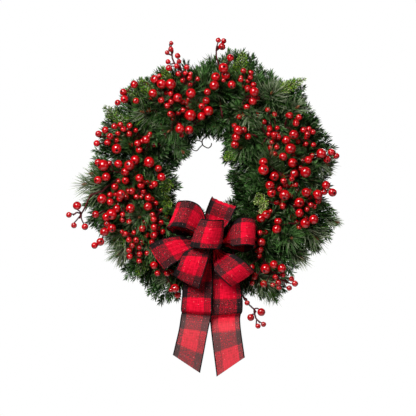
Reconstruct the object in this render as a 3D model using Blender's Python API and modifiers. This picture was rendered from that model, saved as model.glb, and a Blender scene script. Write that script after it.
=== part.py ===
"""Artificial wreath of pine branches and red berry sprays with a plaid ribbon bow.

The front faces -Y, +X is on the right as seen from the front and +Z is up.
The origin is the hanging point: the underside of the outer ring wire at twelve
o'clock, where a door hook bears.  Lengths are in metres.  Places given in
millimetres are (right, up, forward) from the middle of the ring, and place()
turns them into model space.
"""
import math

import bmesh
import bpy
from mathutils import Vector

MM = 0.001

# Ring frame: two rings of steel wire and the bars that join them.
OUTER_RING_RADIUS = 0.175
INNER_RING_RADIUS = 0.130
RING_WIRE_RADIUS = 0.002
CROSS_BAR_RADIUS = 0.0018
RING_SEGMENTS = 28
CROSS_BAR_ANGLES = (0, 60, 120, 180, 240, 300)

# Bindings that wrap the foot of each branch and spray round a ring wire.
CHANNEL_RADIUS = 0.0026
BINDING_RADIUS = 0.0046
BINDING_LENGTH = 0.012

# Pine branches.
OUTER_BRANCH_COUNT = 12
OUTER_BRANCH_START = 15
OUTER_TIPS = (          # angle from the branch's own, reach from the middle, root and tip forward
    (-10.0, 264, 20, 30),
    (0.5, 272, 2, -22),
    (10.0, 268, 22, 34),
)
OUTER_TIP_ROOT = 190
TIP_ROOT_SPREAD = 0.75  # tips fan out: their roots lie nearer the branch's own angle
INNER_BRANCH_COUNT = 10
INNER_BRANCH_START = 18
INNER_TIP_SPREAD = (-11.0, 11.0)
INNER_TIP_ROOT = 116
HOLE_CENTRE = (-20, 10)
HOLE_RADIUS = 64
TIP_RADIUS = 0.019
INNER_TIP_SHARE = 0.74
INNER_TIP_FORWARD = ((14, 4), (22, 30))     # root and end of each of the two tips
CROTCH_OUT = 0.007      # the tips part this far from the ring wire
CROTCH_FORWARD = 12
BRANCH_STEM_RADIUS = 0.0022

# Berry sprays.
SPRAY_STEM_RADIUS = 0.0015
SIDE_STEM_SHARE = 0.8
TWIG_RADIUS = 0.0012
LARGE_BERRY_RADIUS = 0.0103
SPRAY_RISE = 46         # a spray's stem comes forward this far before it bends away
TWIG_LEAN = 12          # a twig leaves its stem this far below the berry it carries

# Bow.
RIBBON_THICKNESS = 0.0012
BOW_KNOT = (0, -146)
KNOT_RADIUS = 6.4
BOW_TIE_ANGLE = 262
TIE_BEND_FORWARD = 30
KNOT_FORWARD = (46, 84)

# Each spray: the angle of its foot on the inner ring (or the outer one), its stems
# as points (right, up, forward), and its berries as (right, up, forward, radius).
SPRAYS = {
    "spray_upright": dict(
        angle=109,
        stems=[
            [(-46, 160, 56), (-50, 188, 58), (-60, 213, 60), (-68, 232, 60), (-72, 250, 60)],
            [(-68, 232, 60), (-82, 245, 62), (-88, 262, 62), (-89, 284, 62)],
        ],
        berries=[
            (-89, 289, 62, 5), (-90, 275, 66, 6), (-98, 268, 62, 5.5), (-75, 261, 64, 6.5),
            (-96, 248, 64, 6), (-94, 234, 66, 7.5), (-55, 236, 64, 6.5), (-73, 221, 72, 6.5),
            (-46, 178, 78, 11),
        ],
    ),
    "spray_top_left": dict(
        angle=133,
        stems=[[(-86, 128, 56), (-88, 155, 58), (-97, 180, 60), (-112, 198, 60)]],
        berries=[
            (-125, 209, 74, 9.5), (-110, 198, 82, 10.5), (-90, 198, 80, 11.5), (-75, 168, 80, 10),
            (-129, 178, 78, 9.5),
        ],
    ),
    "spray_left_shoulder": dict(
        angle=141,
        stems=[
            [(-112, 110, 55), (-122, 140, 56), (-130, 170, 57), (-136, 195, 58), (-148, 205, 60),
             (-165, 203, 60), (-180, 191, 60), (-196, 172, 60)],
            [(-130, 170, 57), (-142, 178, 59), (-150, 168, 60), (-162, 165, 60)],
        ],
        berries=[
            (-170, 198, 70, 9), (-194, 181, 68, 8), (-191, 165, 78, 9), (-206, 158, 68, 7),
            (-166, 162, 72, 7),
        ],
    ),
    "spray_inner_top": dict(
        angle=98,
        stems=[
            [(-18, 140, 55), (-16, 160, 57), (-12, 178, 58)],
            [(-18, 132, 50), (-32, 116, 57), (-50, 104, 58), (-66, 95, 58)],
        ],
        berries=[
            (-47, 130, 82, 12.5), (-23, 128, 74, 9.5), (-8, 139, 84, 11), (-13, 162, 74, 8),
            (-70, 100, 80, 10), (-50, 98, 76, 9.5),
        ],
    ),
    "spray_top_centre": dict(
        angle=80,
        stems=[
            [(18, 160, 56), (18, 190, 58), (26, 225, 60), (32, 240, 60), (37, 250, 62)],
            [(24, 215, 59), (16, 240, 60), (10, 258, 61), (9, 272, 62), (14, 283, 62)],
        ],
        berries=[
            (5, 195, 82, 10.5), (8, 214, 74, 10), (30, 218, 70, 9.5), (25, 233, 84, 11),
            (40, 256, 70, 8), (43, 197, 78, 9), (22, 281, 66, 8), (14, 295, 64, 6),
            (26, 294, 60, 6),
        ],
    ),
    "spray_top_right": dict(
        angle=67,
        stems=[[(60, 140, 55), (70, 165, 57), (76, 190, 58), (76, 208, 58)]],
        berries=[
            (69, 228, 66, 6.5), (92, 181, 84, 10.5), (89, 161, 72, 9),
        ],
    ),
    "spray_inner_right": dict(
        angle=40,
        stems=[[(84, 92, 55), (70, 90, 56), (58, 82, 56)]],
        berries=[
            (57, 97, 80, 10.5), (52, 82, 74, 9.5), (50, 67, 68, 9),
        ],
    ),
    "spray_right_shoulder": dict(
        angle=32,
        stems=[[(122, 84, 55), (140, 98, 56), (160, 104, 57), (180, 104, 58), (198, 100, 59)]],
        berries=[
            (190, 126, 74, 7), (200, 98, 72, 7), (208, 88, 80, 6.5), (178, 88, 80, 10.5),
            (162, 76, 74, 9.5),
        ],
    ),
    "spray_right": dict(
        angle=25,
        stems=[[(135, 52, 55), (160, 46, 56), (185, 41, 57), (212, 41, 58), (240, 42, 59), (256, 42, 60)]],
        berries=[
            (171, 57, 82, 12), (155, 40, 78, 9), (176, 27, 68, 10.5), (210, 33, 78, 8.5),
            (238, 47, 82, 11), (251, 34, 72, 8.5), (261, 50, 70, 8), (272, 42, 64, 7),
        ],
    ),
    "spray_mid_right": dict(
        angle=8,
        stems=[[(146, 7, 55), (165, 0, 56), (185, -4, 57), (196, -2, 58)]],
        berries=[
            (204, 6, 82, 12), (180, 3, 68, 9),
        ],
    ),
    "spray_inner_mid_right": dict(
        angle=352,
        stems=[
            [(122, -8, 55), (115, 8, 56), (111, 20, 57)],
            [(125, -13, 51), (134, -26, 56), (144, -37, 57)],
        ],
        berries=[
            (112, 28, 74, 10), (112, 11, 84, 12), (136, -3, 70, 10.5), (126, -23, 82, 10),
            (130, -39, 74, 10), (158, -44, 82, 12),
        ],
    ),
    "spray_low_right_edge": dict(
        angle=335,
        stems=[[(140, -62, 55), (165, -62, 56), (195, -54, 57), (220, -48, 58), (244, -40, 59)]],
        berries=[
            (205, -38, 80, 10), (230, -43, 84, 11), (249, -22, 76, 9.5), (263, -38, 74, 9.5),
            (246, -37, 64, 7), (191, -60, 70, 11), (232, -57, 66, 6.5), (191, -83, 76, 9.5),
            (155, -68, 62, 8),
        ],
    ),
    "spray_lower_right": dict(
        angle=322,
        stems=[[(118, -98, 55), (140, -110, 56), (170, -106, 57), (194, -102, 58)]],
        berries=[
            (118, -86, 84, 9.5), (107, -94, 68, 10), (144, -101, 70, 8.5), (141, -118, 82, 10),
            (203, -105, 82, 11), (222, -97, 72, 10.5),
        ],
    ),
    "spray_bottom_right": dict(
        angle=313,
        stems=[
            [(98, -114, 55), (103, -140, 56), (106, -168, 57), (116, -190, 58), (132, -212, 58),
             (150, -228, 58), (163, -234, 59)],
        ],
        berries=[
            (108, -147, 68, 9), (117, -205, 70, 11), (135, -195, 76, 9), (152, -203, 82, 9.5),
            (138, -223, 72, 6), (155, -218, 70, 6), (145, -235, 72, 6.5), (133, -240, 66, 5.5),
            (147, -246, 64, 6), (113, -238, 64, 8), (174, -227, 68, 6), (181, -237, 72, 7),
            (169, -247, 66, 6),
        ],
    ),
    "spray_hanging": dict(
        angle=286,
        rise=40,
        stems=[
            [(44, -160, 49), (52, -190, 50), (58, -230, 50), (66, -262, 51), (80, -283, 52),
             (92, -294, 53), (97, -301, 53)],
            [(92, -294, 53), (94, -306, 53), (98, -316, 53), (105, -324, 53)],
        ],
        berries=[
            (108, -300, 58, 9), (85, -312, 55, 8), (77, -280, 58, 6), (113, -327, 55, 6),
            (101, -331, 53, 6),
        ],
    ),
    "spray_left_shoulder_low": dict(
        angle=150,
        stems=[[(-130, 79, 55), (-160, 86, 56), (-185, 89, 57), (-210, 88, 58), (-234, 84, 59)]],
        berries=[
            (-233, 98, 74, 8), (-248, 90, 70, 7.5), (-252, 69, 70, 7.5), (-222, 84, 82, 7.5),
            (-228, 71, 70, 7.5), (-213, 106, 74, 7), (-200, 110, 70, 6.5), (-208, 57, 78, 11),
        ],
    ),
    "spray_inner_left": dict(
        angle=172,
        stems=[
            [(-136, 30, 54), (-146, 46, 56), (-152, 62, 57)],
            [(-136, 30, 54), (-158, 28, 56), (-176, 18, 57)],
            [(-129, 20, 44), (-122, 8, 54), (-116, 2, 56)],
        ],
        berries=[
            (-144, 77, 80, 9), (-162, 69, 76, 8), (-137, 28, 82, 12), (-168, 33, 68, 10.5),
            (-180, 21, 84, 11.5), (-190, 7, 74, 9), (-117, 14, 74, 8), (-110, -5, 80, 9.5),
        ],
    ),
    "spray_left": dict(
        angle=188,
        stems=[
            [(-145, -16, 55), (-170, -8, 56), (-195, 4, 57), (-216, 8, 58), (-236, 8, 58)],
            [(-145, -16, 55), (-154, -30, 57), (-164, -40, 57)],
        ],
        berries=[
            (-158, -7, 82, 9), (-155, -23, 72, 8), (-189, -12, 66, 8.5), (-204, 24, 78, 9),
            (-237, 21, 82, 12.5), (-249, 28, 66, 8), (-231, -4, 76, 9.5), (-249, -11, 70, 9),
        ],
    ),
    "spray_far_left": dict(
        angle=187,
        ring="outer",
        rise=42,
        stems=[
            [(-188, -14, 48), (-203, -7, 51), (-222, -20, 54), (-245, -37, 56), (-262, -42, 58),
             (-269, -50, 58), (-278, -70, 60), (-286, -85, 60), (-290, -95, 60)],
            [(-286, -85, 60), (-296, -82, 60), (-304, -88, 61)],
        ],
        berries=[
            (-295, -67, 68, 9.5), (-313, -87, 64, 6.5), (-302, -110, 64, 6.5), (-278, -113, 64, 7.5),
        ],
    ),
    "spray_lower_left_edge": dict(
        angle=207,
        stems=[
            [(-140, -62, 55), (-170, -62, 56), (-195, -66, 57), (-222, -74, 58), (-242, -80, 59)],
            [(-222, -74, 58), (-229, -98, 58), (-235, -124, 58), (-245, -144, 59)],
        ],
        berries=[
            (-198, -42, 82, 10), (-240, -52, 80, 11), (-223, -43, 68, 6.5), (-222, -59, 78, 8),
            (-209, -73, 66, 9), (-219, -86, 84, 12), (-231, -92, 64, 10), (-254, -86, 74, 8),
            (-230, -107, 60, 7), (-212, -26, 72, 8), (-178, -73, 78, 10),
            (-235, -124, 72, 10), (-219, -116, 70, 9.5), (-244, -146, 68, 9), (-257, -154, 64, 7.5),
        ],
    ),
    "spray_inner_low_left": dict(
        angle=216,
        stems=[
            [(-118, -86, 55), (-120, -105, 56), (-120, -128, 57), (-124, -142, 57)],
            [(-112, -80, 52), (-126, -72, 56), (-134, -62, 57)],
        ],
        berries=[
            (-139, -50, 72, 8), (-140, -69, 76, 9.5), (-126, -114, 74, 8), (-127, -132, 74, 8),
        ],
    ),
    "spray_low_left": dict(
        angle=218,
        ring="outer",
        stems=[[(-148, -122, 54), (-160, -138, 56), (-168, -152, 57), (-170, -168, 58), (-167, -182, 58)]],
        berries=[
            (-152, -117, 72, 8), (-181, -142, 74, 6.5), (-181, -165, 74, 6.5), (-180, -178, 74, 7),
            (-158, -173, 74, 6.5),
        ],
    ),
    "spray_bottom_left": dict(
        angle=232,
        ring="outer",
        rise=42,
        stems=[
            [(-112, -160, 49), (-114, -188, 51), (-110, -210, 54), (-98, -228, 56), (-88, -244, 56),
             (-80, -254, 56)],
        ],
        berries=[
            (-127, -197, 70, 8.5), (-119, -215, 70, 6.5), (-98, -215, 64, 7), (-81, -247, 74, 9.5),
            (-90, -252, 60, 5.5), (-75, -263, 56, 7),
        ],
    ),
}

# Each ribbon: stations along its middle line, (right, up, forward) and the half width
# there as (right, up, forward).
RIBBONS = {
    "bow_loop_lower_left": [
        ((-2.5, -152.5, 74), (2.6, -1, 0)),
        ((-13, -156, 80), (10, -1, 0)),
        ((-31, -166, 96), (28, 0, 0)),
        ((-46, -204, 102), (29, -7, 0)),
        ((-57, -232, 86), (29, -14, 0)),
        ((-48, -208, 66), (26, -8, 0)),
        ((-22, -172, 60), (14, -4, 0)),
        ((-2.5, -152.5, 65), (2.6, -1, 0)),
    ],
    "bow_loop_lower_right": [
        ((3.9, -151.8, 74), (2.2, 1.6, 0)),
        ((13, -171, 65), (6, 4.5, 0)),
        ((23, -186, 82), (20, 14, 0)),
        ((35, -197, 96), (25, 17, 0)),
        ((50, -210, 101), (27, 17, 0)),
        ((67, -226, 84), (26, 17, 0)),
        ((54, -210, 66), (24, 16, 0)),
        ((27, -178, 56), (10, 7, 0)),
        ((3.9, -151.8, 65), (2.2, 1.6, 0)),
    ],
    "bow_loop_left": [
        ((-7, -147, 74), (0.4, -2.7, 0)),
        ((-26, -148, 75), (4, -7, 0)),
        ((-58, -153, 82), (14, -20, 0)),
        ((-97, -166, 96), (17.5, -25, 0)),
        ((-120, -181, 82), (18, -26, 0)),
        ((-98, -170, 67), (15, -22, 0)),
        ((-46, -153, 60), (7, -10, 0)),
        ((-7, -147, 65), (0.4, -2.7, 0)),
    ],
    "bow_loop_upper_left": [
        ((-5, -141.1, 74), (2, 2, 0)),
        ((-15, -126, 72), (5, 8, -2)),
        ((-35, -96, 91), (11, 25, -8)),
        ((-62, -84, 105), (13, 28, -11)),
        ((-88, -88, 86), (12, 27, -12)),
        ((-66, -104, 62), (10, 26, -13)),
        ((-26, -122, 60), (6, 13, -7)),
        ((-5, -141.1, 65), (2, 2, 0)),
    ],
    "bow_loop_top": [
        ((1.8, -139.2, 74), (2.7, -0.6, 0)),
        ((4, -122, 77), (10, -3, 0)),
        ((10, -98, 92), (25, -9, 0)),
        ((20, -72, 100), (27, -11, 0)),
        ((27, -58, 84), (27, -11, 0)),
        ((21, -74, 66), (25, -11, 0)),
        ((7, -110, 59), (12, -5, 0)),
        ((1.8, -139.2, 65), (2.7, -0.6, 0)),
    ],
    "bow_loop_right": [
        ((7, -145.6, 74), (0, 2.7, 0)),
        ((23, -145, 65), (1, 3.5, 0)),
        ((35, -138, 67), (0, 12, -3)),
        ((43, -129, 83), (0, 25, -7)),
        ((56, -124, 98), (0, 30, -9)),
        ((74, -122, 104), (0, 30, -10)),
        ((92, -127, 84), (0, 29, -12)),
        ((72, -143, 64), (0, 26, -12)),
        ((36, -146, 56), (0, 13, -6)),
        ((7, -145.6, 65), (0, 2.7, 0)),
    ],
    "bow_loop_centre": [
        ((-3, -146, 85.2), (0.6, 4, 0)),
        ((-22, -134, 94), (6, 18, 0)),
        ((-36, -126, 104), (11, 30, 0)),
        ((-8, -129, 126), (9, 31, 0)),
        ((21, -130, 106), (5, 31, 0)),
        ((12, -138, 94), (4, 18, 0)),
        ((3, -146, 85.2), (0.6, 4, 0)),
    ],
    "bow_tail_left": [
        ((-3.7, -151.6, 57), (2.4, -1.5, 0)),
        ((-12, -190, 54), (11, 0, 1)),
        ((-29, -230, 60), (31, 0, 2)),
        ((-33, -268, 67), (33, -1, 2)),
        ((-34, -296, 69), (34, -3, 2)),
        ((-33.5, -303, 58), (33, -3, 2)),
        ((-36, -314, 60), (32.5, -4, 2)),
        ((-42, -346, 66), (31.5, -5, 2)),
        ((-56, -413.5, 60), (30, -19.5, 2)),
    ],
    "bow_tail_right": [
        ((3.7, -151.6, 53), (2.4, 1.5, 0)),
        ((11, -190, 49), (10, 0, 2)),
        ((29, -230, 54), (29, 0, 3)),
        ((33, -270, 60), (33.5, 1, 3)),
        ((32, -300, 60), (34.5, 2, 3)),
        ((29.5, -309, 49), (33.5, 2, 3)),
        ((29, -322, 51), (33, 3, 2)),
        ((32, -352, 58), (32.5, 5, 2)),
        ((41, -420.5, 56), (31, 21.5, 2)),
    ],
}
RIBBON_STEPS = 2        # samples between two stations


def place(right, up, forward):
    """Return the model-space point of a place given in millimetres from the middle."""
    centre_height = RING_WIRE_RADIUS - OUTER_RING_RADIUS
    return Vector((right * MM, -forward * MM, up * MM + centre_height))


def around(angle, radius, forward=0.0):
    """Return the point at an angle in degrees and a radius in metres round the middle."""
    turn = math.radians(angle)
    return place(math.cos(turn) * radius / MM, math.sin(turn) * radius / MM, forward)


def clear_scene():
    """Remove every object that the file holds."""
    for item in list(bpy.data.objects):
        bpy.data.objects.remove(item, do_unlink=True)


def make_collection(name):
    collection = bpy.data.collections.new(name)
    bpy.context.scene.collection.children.link(collection)
    return collection


def make_material(name, colour, roughness, metallic=0.0):
    material = bpy.data.materials.new(name)
    material.use_nodes = True
    shader = material.node_tree.nodes["Principled BSDF"]
    shader.inputs["Base Color"].default_value = (*colour, 1.0)
    shader.inputs["Roughness"].default_value = roughness
    shader.inputs["Metallic"].default_value = metallic
    material.diffuse_color = (*colour, 1.0)
    return material


def tube(points, radii, sides_level=1, cyclic=False):
    """Return a mesh of a closed tube along points; radii is one radius or one a point."""
    if not isinstance(radii, (list, tuple)):
        radii = [radii] * len(points)
    curve = bpy.data.curves.new("tube", "CURVE")
    curve.dimensions = "3D"
    curve.bevel_depth = 1.0
    curve.bevel_resolution = sides_level
    curve.use_fill_caps = not cyclic
    spline = curve.splines.new("POLY")
    spline.points.add(len(points) - 1)
    spline.use_cyclic_u = cyclic
    for point, co, radius in zip(spline.points, points, radii):
        point.co = (*co, 1.0)
        point.radius = radius
    holder = bpy.data.objects.new("tube", curve)
    bpy.context.scene.collection.objects.link(holder)
    bpy.context.view_layer.update()
    evaluated = holder.evaluated_get(bpy.context.evaluated_depsgraph_get())
    mesh = bpy.data.meshes.new_from_object(evaluated)
    bpy.data.objects.remove(holder, do_unlink=True)
    bpy.data.curves.remove(curve)
    return mesh


def add_tube(body, points, radii, sides_level=1, cyclic=False):
    """Add a closed tube to a bmesh, with its caps welded on."""
    mesh = tube(points, radii, sides_level, cyclic)
    part = bmesh.new()
    part.from_mesh(mesh)
    bmesh.ops.remove_doubles(part, verts=part.verts, dist=0.000005)
    bmesh.ops.recalc_face_normals(part, faces=part.faces)
    part.to_mesh(mesh)
    part.free()
    body.from_mesh(mesh)
    bpy.data.meshes.remove(mesh)


def add_berry(body, centre, radius):
    """Add a round berry to a bmesh, with more faces on a large one."""
    bands = 4 if radius > LARGE_BERRY_RADIUS else 3
    made = bmesh.ops.create_uvsphere(body, u_segments=6, v_segments=bands, radius=radius)
    bmesh.ops.translate(body, verts=made["verts"], vec=centre)


def add_twig(body, start, end):
    """Add a thin three-sided twig between two points to a bmesh."""
    run = end - start
    made = bmesh.ops.create_cone(
        body, cap_ends=True, segments=3, radius1=TWIG_RADIUS, radius2=TWIG_RADIUS, depth=run.length
    )
    turn = run.to_track_quat("Z", "Y").to_matrix()
    bmesh.ops.rotate(body, verts=made["verts"], matrix=turn)
    bmesh.ops.translate(body, verts=made["verts"], vec=(start + end) / 2)


def finish_object(name, body, material, collection, channel=None):
    """Turn a bmesh of overlapping closed shapes into one joined solid.

    The shapes are joined by the Boolean, which also cuts the channel in which
    the ring wires lie.
    """
    mesh = bpy.data.meshes.new(name)
    body.to_mesh(mesh)
    body.free()
    mesh.materials.append(material)
    mesh.shade_smooth()
    mesh.set_sharp_from_angle(angle=math.radians(50))
    item = bpy.data.objects.new(name, mesh)
    collection.objects.link(item)
    if channel is not None:
        cut = item.modifiers.new("ring channel", "BOOLEAN")
        cut.operation = "DIFFERENCE"
        cut.solver = "EXACT"
        cut.use_self = True
        cut.object = channel
    return item


def ring_points(radius):
    step = 360 / RING_SEGMENTS
    return [around(index * step, radius) for index in range(RING_SEGMENTS)]


def make_ring_frame(material, collection, cutters):
    """Make the two wire rings with their cross bars, joined into one solid."""
    outer = bmesh.new()
    add_tube(outer, ring_points(OUTER_RING_RADIUS), RING_WIRE_RADIUS, 1, cyclic=True)
    add_tube(outer, ring_points(INNER_RING_RADIUS), RING_WIRE_RADIUS, 1, cyclic=True)
    bars = bmesh.new()
    for angle in CROSS_BAR_ANGLES:
        ends = [around(angle, INNER_RING_RADIUS), around(angle, OUTER_RING_RADIUS)]
        add_tube(bars, ends, CROSS_BAR_RADIUS, 1)
    bars_mesh = bpy.data.meshes.new("cross_bars")
    bars.to_mesh(bars_mesh)
    bars.free()
    bars_guide = bpy.data.objects.new("cross_bars", bars_mesh)
    cutters.objects.link(bars_guide)
    hide_cutter(bars_guide)
    frame = finish_object("ring_frame", outer, material, collection)
    join = frame.modifiers.new("cross bars", "BOOLEAN")
    join.operation = "UNION"
    join.solver = "EXACT"
    join.use_self = True
    join.object = bars_guide
    return frame


def hide_cutter(item):
    item.hide_render = True
    item.display_type = "WIRE"


def make_ring_channel(cutters):
    """Make the cutter that leaves room for both ring wires inside the bindings."""
    body = bmesh.new()
    for radius in (OUTER_RING_RADIUS, INNER_RING_RADIUS):
        add_tube(body, ring_points(radius), CHANNEL_RADIUS, 1, cyclic=True)
    mesh = bpy.data.meshes.new("ring_channel")
    body.to_mesh(mesh)
    body.free()
    channel = bpy.data.objects.new("ring_channel", mesh)
    cutters.objects.link(channel)
    hide_cutter(channel)
    return channel


def add_binding(body, angle, ring_radius):
    """Add the wrapped foot that lies along the ring wire at an angle."""
    turn = math.radians(angle)
    along = Vector((-math.sin(turn), 0.0, math.cos(turn)))
    middle = around(angle, ring_radius)
    half = along * BINDING_LENGTH / 2
    add_tube(body, [middle - half, middle + half], BINDING_RADIUS, 1)


def add_tip(body, root, end, bushy=1.0):
    """Add the plain spindle that stands for one bushy pine tip."""
    shares = (0.0, 0.45, 1.0)
    widths = (0.45, 1.0, 0.4)
    points = [root.lerp(end, share) for share in shares]
    add_tube(body, points, [TIP_RADIUS * bushy * width for width in widths], 1)


def make_outer_branch(index, material, collection, channel):
    """Make one branch of the outer rank: binding, stem and its fan of tips."""
    angle = OUTER_BRANCH_START + index * 360 / OUTER_BRANCH_COUNT
    body = bmesh.new()
    add_binding(body, angle, OUTER_RING_RADIUS)
    crotch = around(angle, OUTER_RING_RADIUS + CROTCH_OUT, CROTCH_FORWARD)
    add_tube(body, [around(angle, OUTER_RING_RADIUS), crotch], BRANCH_STEM_RADIUS, 1)
    for offset, reach, root_forward, tip_forward in OUTER_TIPS:
        root = around(angle + offset * TIP_ROOT_SPREAD, OUTER_TIP_ROOT * MM, root_forward)
        end = around(angle + offset, reach * MM, tip_forward)
        add_tube(body, [crotch, root.lerp(end, 0.1)], BRANCH_STEM_RADIUS * SIDE_STEM_SHARE, 0)
        add_tip(body, root, end)
    return finish_object(f"outer_branch_{index + 1:02d}", body, material, collection, channel)


def hole_edge(point, forward):
    """Return the place where a line from a point to the hole's middle meets its edge."""
    away = Vector((point[0] - HOLE_CENTRE[0], point[1] - HOLE_CENTRE[1]))
    away.normalize()
    return place(HOLE_CENTRE[0] + away.x * HOLE_RADIUS, HOLE_CENTRE[1] + away.y * HOLE_RADIUS, forward)


def make_inner_branch(index, material, collection, channel):
    """Make one branch of the inner rank, whose tips reach to the hole's edge."""
    angle = INNER_BRANCH_START + index * 360 / INNER_BRANCH_COUNT
    body = bmesh.new()
    add_binding(body, angle, INNER_RING_RADIUS)
    crotch = around(angle, INNER_RING_RADIUS - CROTCH_OUT, CROTCH_FORWARD)
    add_tube(body, [around(angle, INNER_RING_RADIUS), crotch], BRANCH_STEM_RADIUS, 1)
    for offset, (root_forward, end_forward) in zip(INNER_TIP_SPREAD, INNER_TIP_FORWARD):
        turn = math.radians(angle + offset)
        root_place = (math.cos(turn) * INNER_TIP_ROOT, math.sin(turn) * INNER_TIP_ROOT)
        root = place(*root_place, root_forward)
        end = hole_edge(root_place, end_forward)
        add_tube(body, [crotch, root.lerp(end, 0.12)], BRANCH_STEM_RADIUS * SIDE_STEM_SHARE, 0)
        add_tip(body, root, end, INNER_TIP_SHARE)
    return finish_object(f"inner_branch_{index + 1:02d}", body, material, collection, channel)


def twig_start(stems, berry):
    """Return the point on the stems from which the twig to a berry leaves."""
    best = None
    for line in stems:
        for first, second in zip(line, line[1:]):
            run = second - first
            share = max(0.0, min(1.0, (berry - first).dot(run) / run.length_squared))
            gap = (first + run * share - berry).length
            if best is None or gap < best[0]:
                share = max(0.0, share - TWIG_LEAN * MM / run.length)
                best = (gap, first + run * share)
    return best[1]


def make_spray(name, spray, material, collection, channel):
    """Make one berry spray: binding, stems, twigs and berries in one solid."""
    ring_radius = OUTER_RING_RADIUS if spray.get("ring") == "outer" else INNER_RING_RADIUS
    angle = spray["angle"]
    body = bmesh.new()
    add_binding(body, angle, ring_radius)
    rise = around(angle, ring_radius, spray.get("rise", SPRAY_RISE))
    stems = [[place(*point) for point in line] for line in spray["stems"]]
    add_tube(body, [around(angle, ring_radius), rise, *stems[0]], SPRAY_STEM_RADIUS, 0)
    for line in stems[1:]:
        add_tube(body, line, SPRAY_STEM_RADIUS * SIDE_STEM_SHARE, 0)
    for right, up, forward, radius in spray["berries"]:
        centre = place(right, up, forward)
        add_twig(body, twig_start(stems, centre), centre)
        add_berry(body, centre, radius * MM)
    return finish_object(name, body, material, collection, channel)


def smooth_between(before, first, second, after, share):
    """Return the Catmull-Rom value between two vectors."""
    square = share * share
    cube = square * share
    return 0.5 * (
        2 * first
        + (second - before) * share
        + (2 * before - 5 * first + 4 * second - after) * square
        + (3 * first - before - 3 * second + after) * cube
    )


def ribbon_samples(stations):
    """Return (middle, half width) pairs along a ribbon, in metres."""
    middles = [place(*middle) for middle, half in stations]
    halves = [Vector((half[0], -half[2], half[1])) * MM for middle, half in stations]
    samples = []
    last = len(stations) - 1
    for index in range(last):
        picks = [max(0, index - 1), index, index + 1, min(last, index + 2)]
        for step in range(RIBBON_STEPS):
            share = step / RIBBON_STEPS
            middle = smooth_between(*(middles[pick] for pick in picks), share)
            half = smooth_between(*(halves[pick] for pick in picks), share)
            samples.append((middle, half))
    samples.append((middles[last], halves[last]))
    return samples


def make_ribbon(name, stations, material, collection):
    """Make one loop or tail of the bow as a band of ribbon with its thickness."""
    body = bmesh.new()
    rows = []
    for middle, half in ribbon_samples(stations):
        rows.append([body.verts.new(middle + half * side) for side in (-1, 0, 1)])
    for row, following in zip(rows, rows[1:]):
        for side in range(2):
            body.faces.new((row[side], row[side + 1], following[side + 1], following[side]))
    bmesh.ops.recalc_face_normals(body, faces=body.faces)
    item = finish_object(name, body, material, collection)
    thick = item.modifiers.new("ribbon thickness", "SOLIDIFY")
    thick.thickness = RIBBON_THICKNESS
    thick.offset = 0.0
    return item


def make_bow_tie(material, collection, channel):
    """Make the wire that gathers the ribbon and goes back round the inner ring."""
    body = bmesh.new()
    angle = BOW_TIE_ANGLE
    add_binding(body, angle, INNER_RING_RADIUS)
    knot_back = place(*BOW_KNOT, KNOT_FORWARD[0])
    bend = around(angle, INNER_RING_RADIUS, TIE_BEND_FORWARD)
    wire = [around(angle, INNER_RING_RADIUS), bend, knot_back]
    add_tube(body, wire, RING_WIRE_RADIUS, 1)
    add_tube(body, [knot_back, place(*BOW_KNOT, KNOT_FORWARD[1])], KNOT_RADIUS * MM, 2)
    return finish_object("bow_tie", body, material, collection, channel)


def main():
    clear_scene()
    wreath = make_collection("berry_wreath")
    cutters = make_collection("cutters")
    steel = make_material("painted_steel_wire", (0.03, 0.06, 0.04), 0.45, 0.6)
    pine = make_material("pine_needles", (0.03, 0.10, 0.03), 0.55)
    pine_light = make_material("pine_needles_inner", (0.05, 0.14, 0.03), 0.55)
    berry = make_material("berry_red", (0.45, 0.01, 0.02), 0.22)
    plaid = make_material("plaid_ribbon", (0.35, 0.02, 0.03), 0.8)
    tie_wire = make_material("tie_wire", (0.02, 0.02, 0.02), 0.5, 0.3)

    channel = make_ring_channel(cutters)
    make_ring_frame(steel, wreath, cutters)
    for index in range(OUTER_BRANCH_COUNT):
        make_outer_branch(index, pine, wreath, channel)
    for index in range(INNER_BRANCH_COUNT):
        make_inner_branch(index, pine_light, wreath, channel)
    for name, spray in SPRAYS.items():
        make_spray(name, spray, berry, wreath, channel)
    for name, stations in RIBBONS.items():
        make_ribbon(name, stations, plaid, wreath)
    make_bow_tie(tie_wire, wreath, channel)


main()
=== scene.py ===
"""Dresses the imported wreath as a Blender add-on: greenery, berry sprays, bow and stage."""
import math
from functools import partial

import bmesh
import bpy
import numpy as np
from bpy.props import FloatProperty, FloatVectorProperty, IntProperty, PointerProperty
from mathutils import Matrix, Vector


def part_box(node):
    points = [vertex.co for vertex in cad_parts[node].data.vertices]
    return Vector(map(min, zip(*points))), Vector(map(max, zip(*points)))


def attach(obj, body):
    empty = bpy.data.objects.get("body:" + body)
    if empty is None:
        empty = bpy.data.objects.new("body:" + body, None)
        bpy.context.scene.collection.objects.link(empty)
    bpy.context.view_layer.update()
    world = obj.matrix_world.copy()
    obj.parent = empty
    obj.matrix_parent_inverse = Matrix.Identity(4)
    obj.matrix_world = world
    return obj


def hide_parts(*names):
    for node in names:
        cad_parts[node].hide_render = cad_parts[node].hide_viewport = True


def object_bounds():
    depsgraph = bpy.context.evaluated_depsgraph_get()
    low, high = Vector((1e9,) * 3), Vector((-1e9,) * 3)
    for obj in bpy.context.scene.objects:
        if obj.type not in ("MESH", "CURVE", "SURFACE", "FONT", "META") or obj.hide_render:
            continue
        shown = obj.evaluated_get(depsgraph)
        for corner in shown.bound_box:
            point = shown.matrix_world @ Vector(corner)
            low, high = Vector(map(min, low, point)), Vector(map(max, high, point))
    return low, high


bl_info = {
    "name": "Berry wreath",
    "version": (1, 0, 0),
    "blender": (4, 5, 0),
    "location": "View3D > Sidebar > Wreath",
    "description": "Builds the greenery, berry sprays and plaid bow of an artificial wreath",
    "category": "Object",
}

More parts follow.
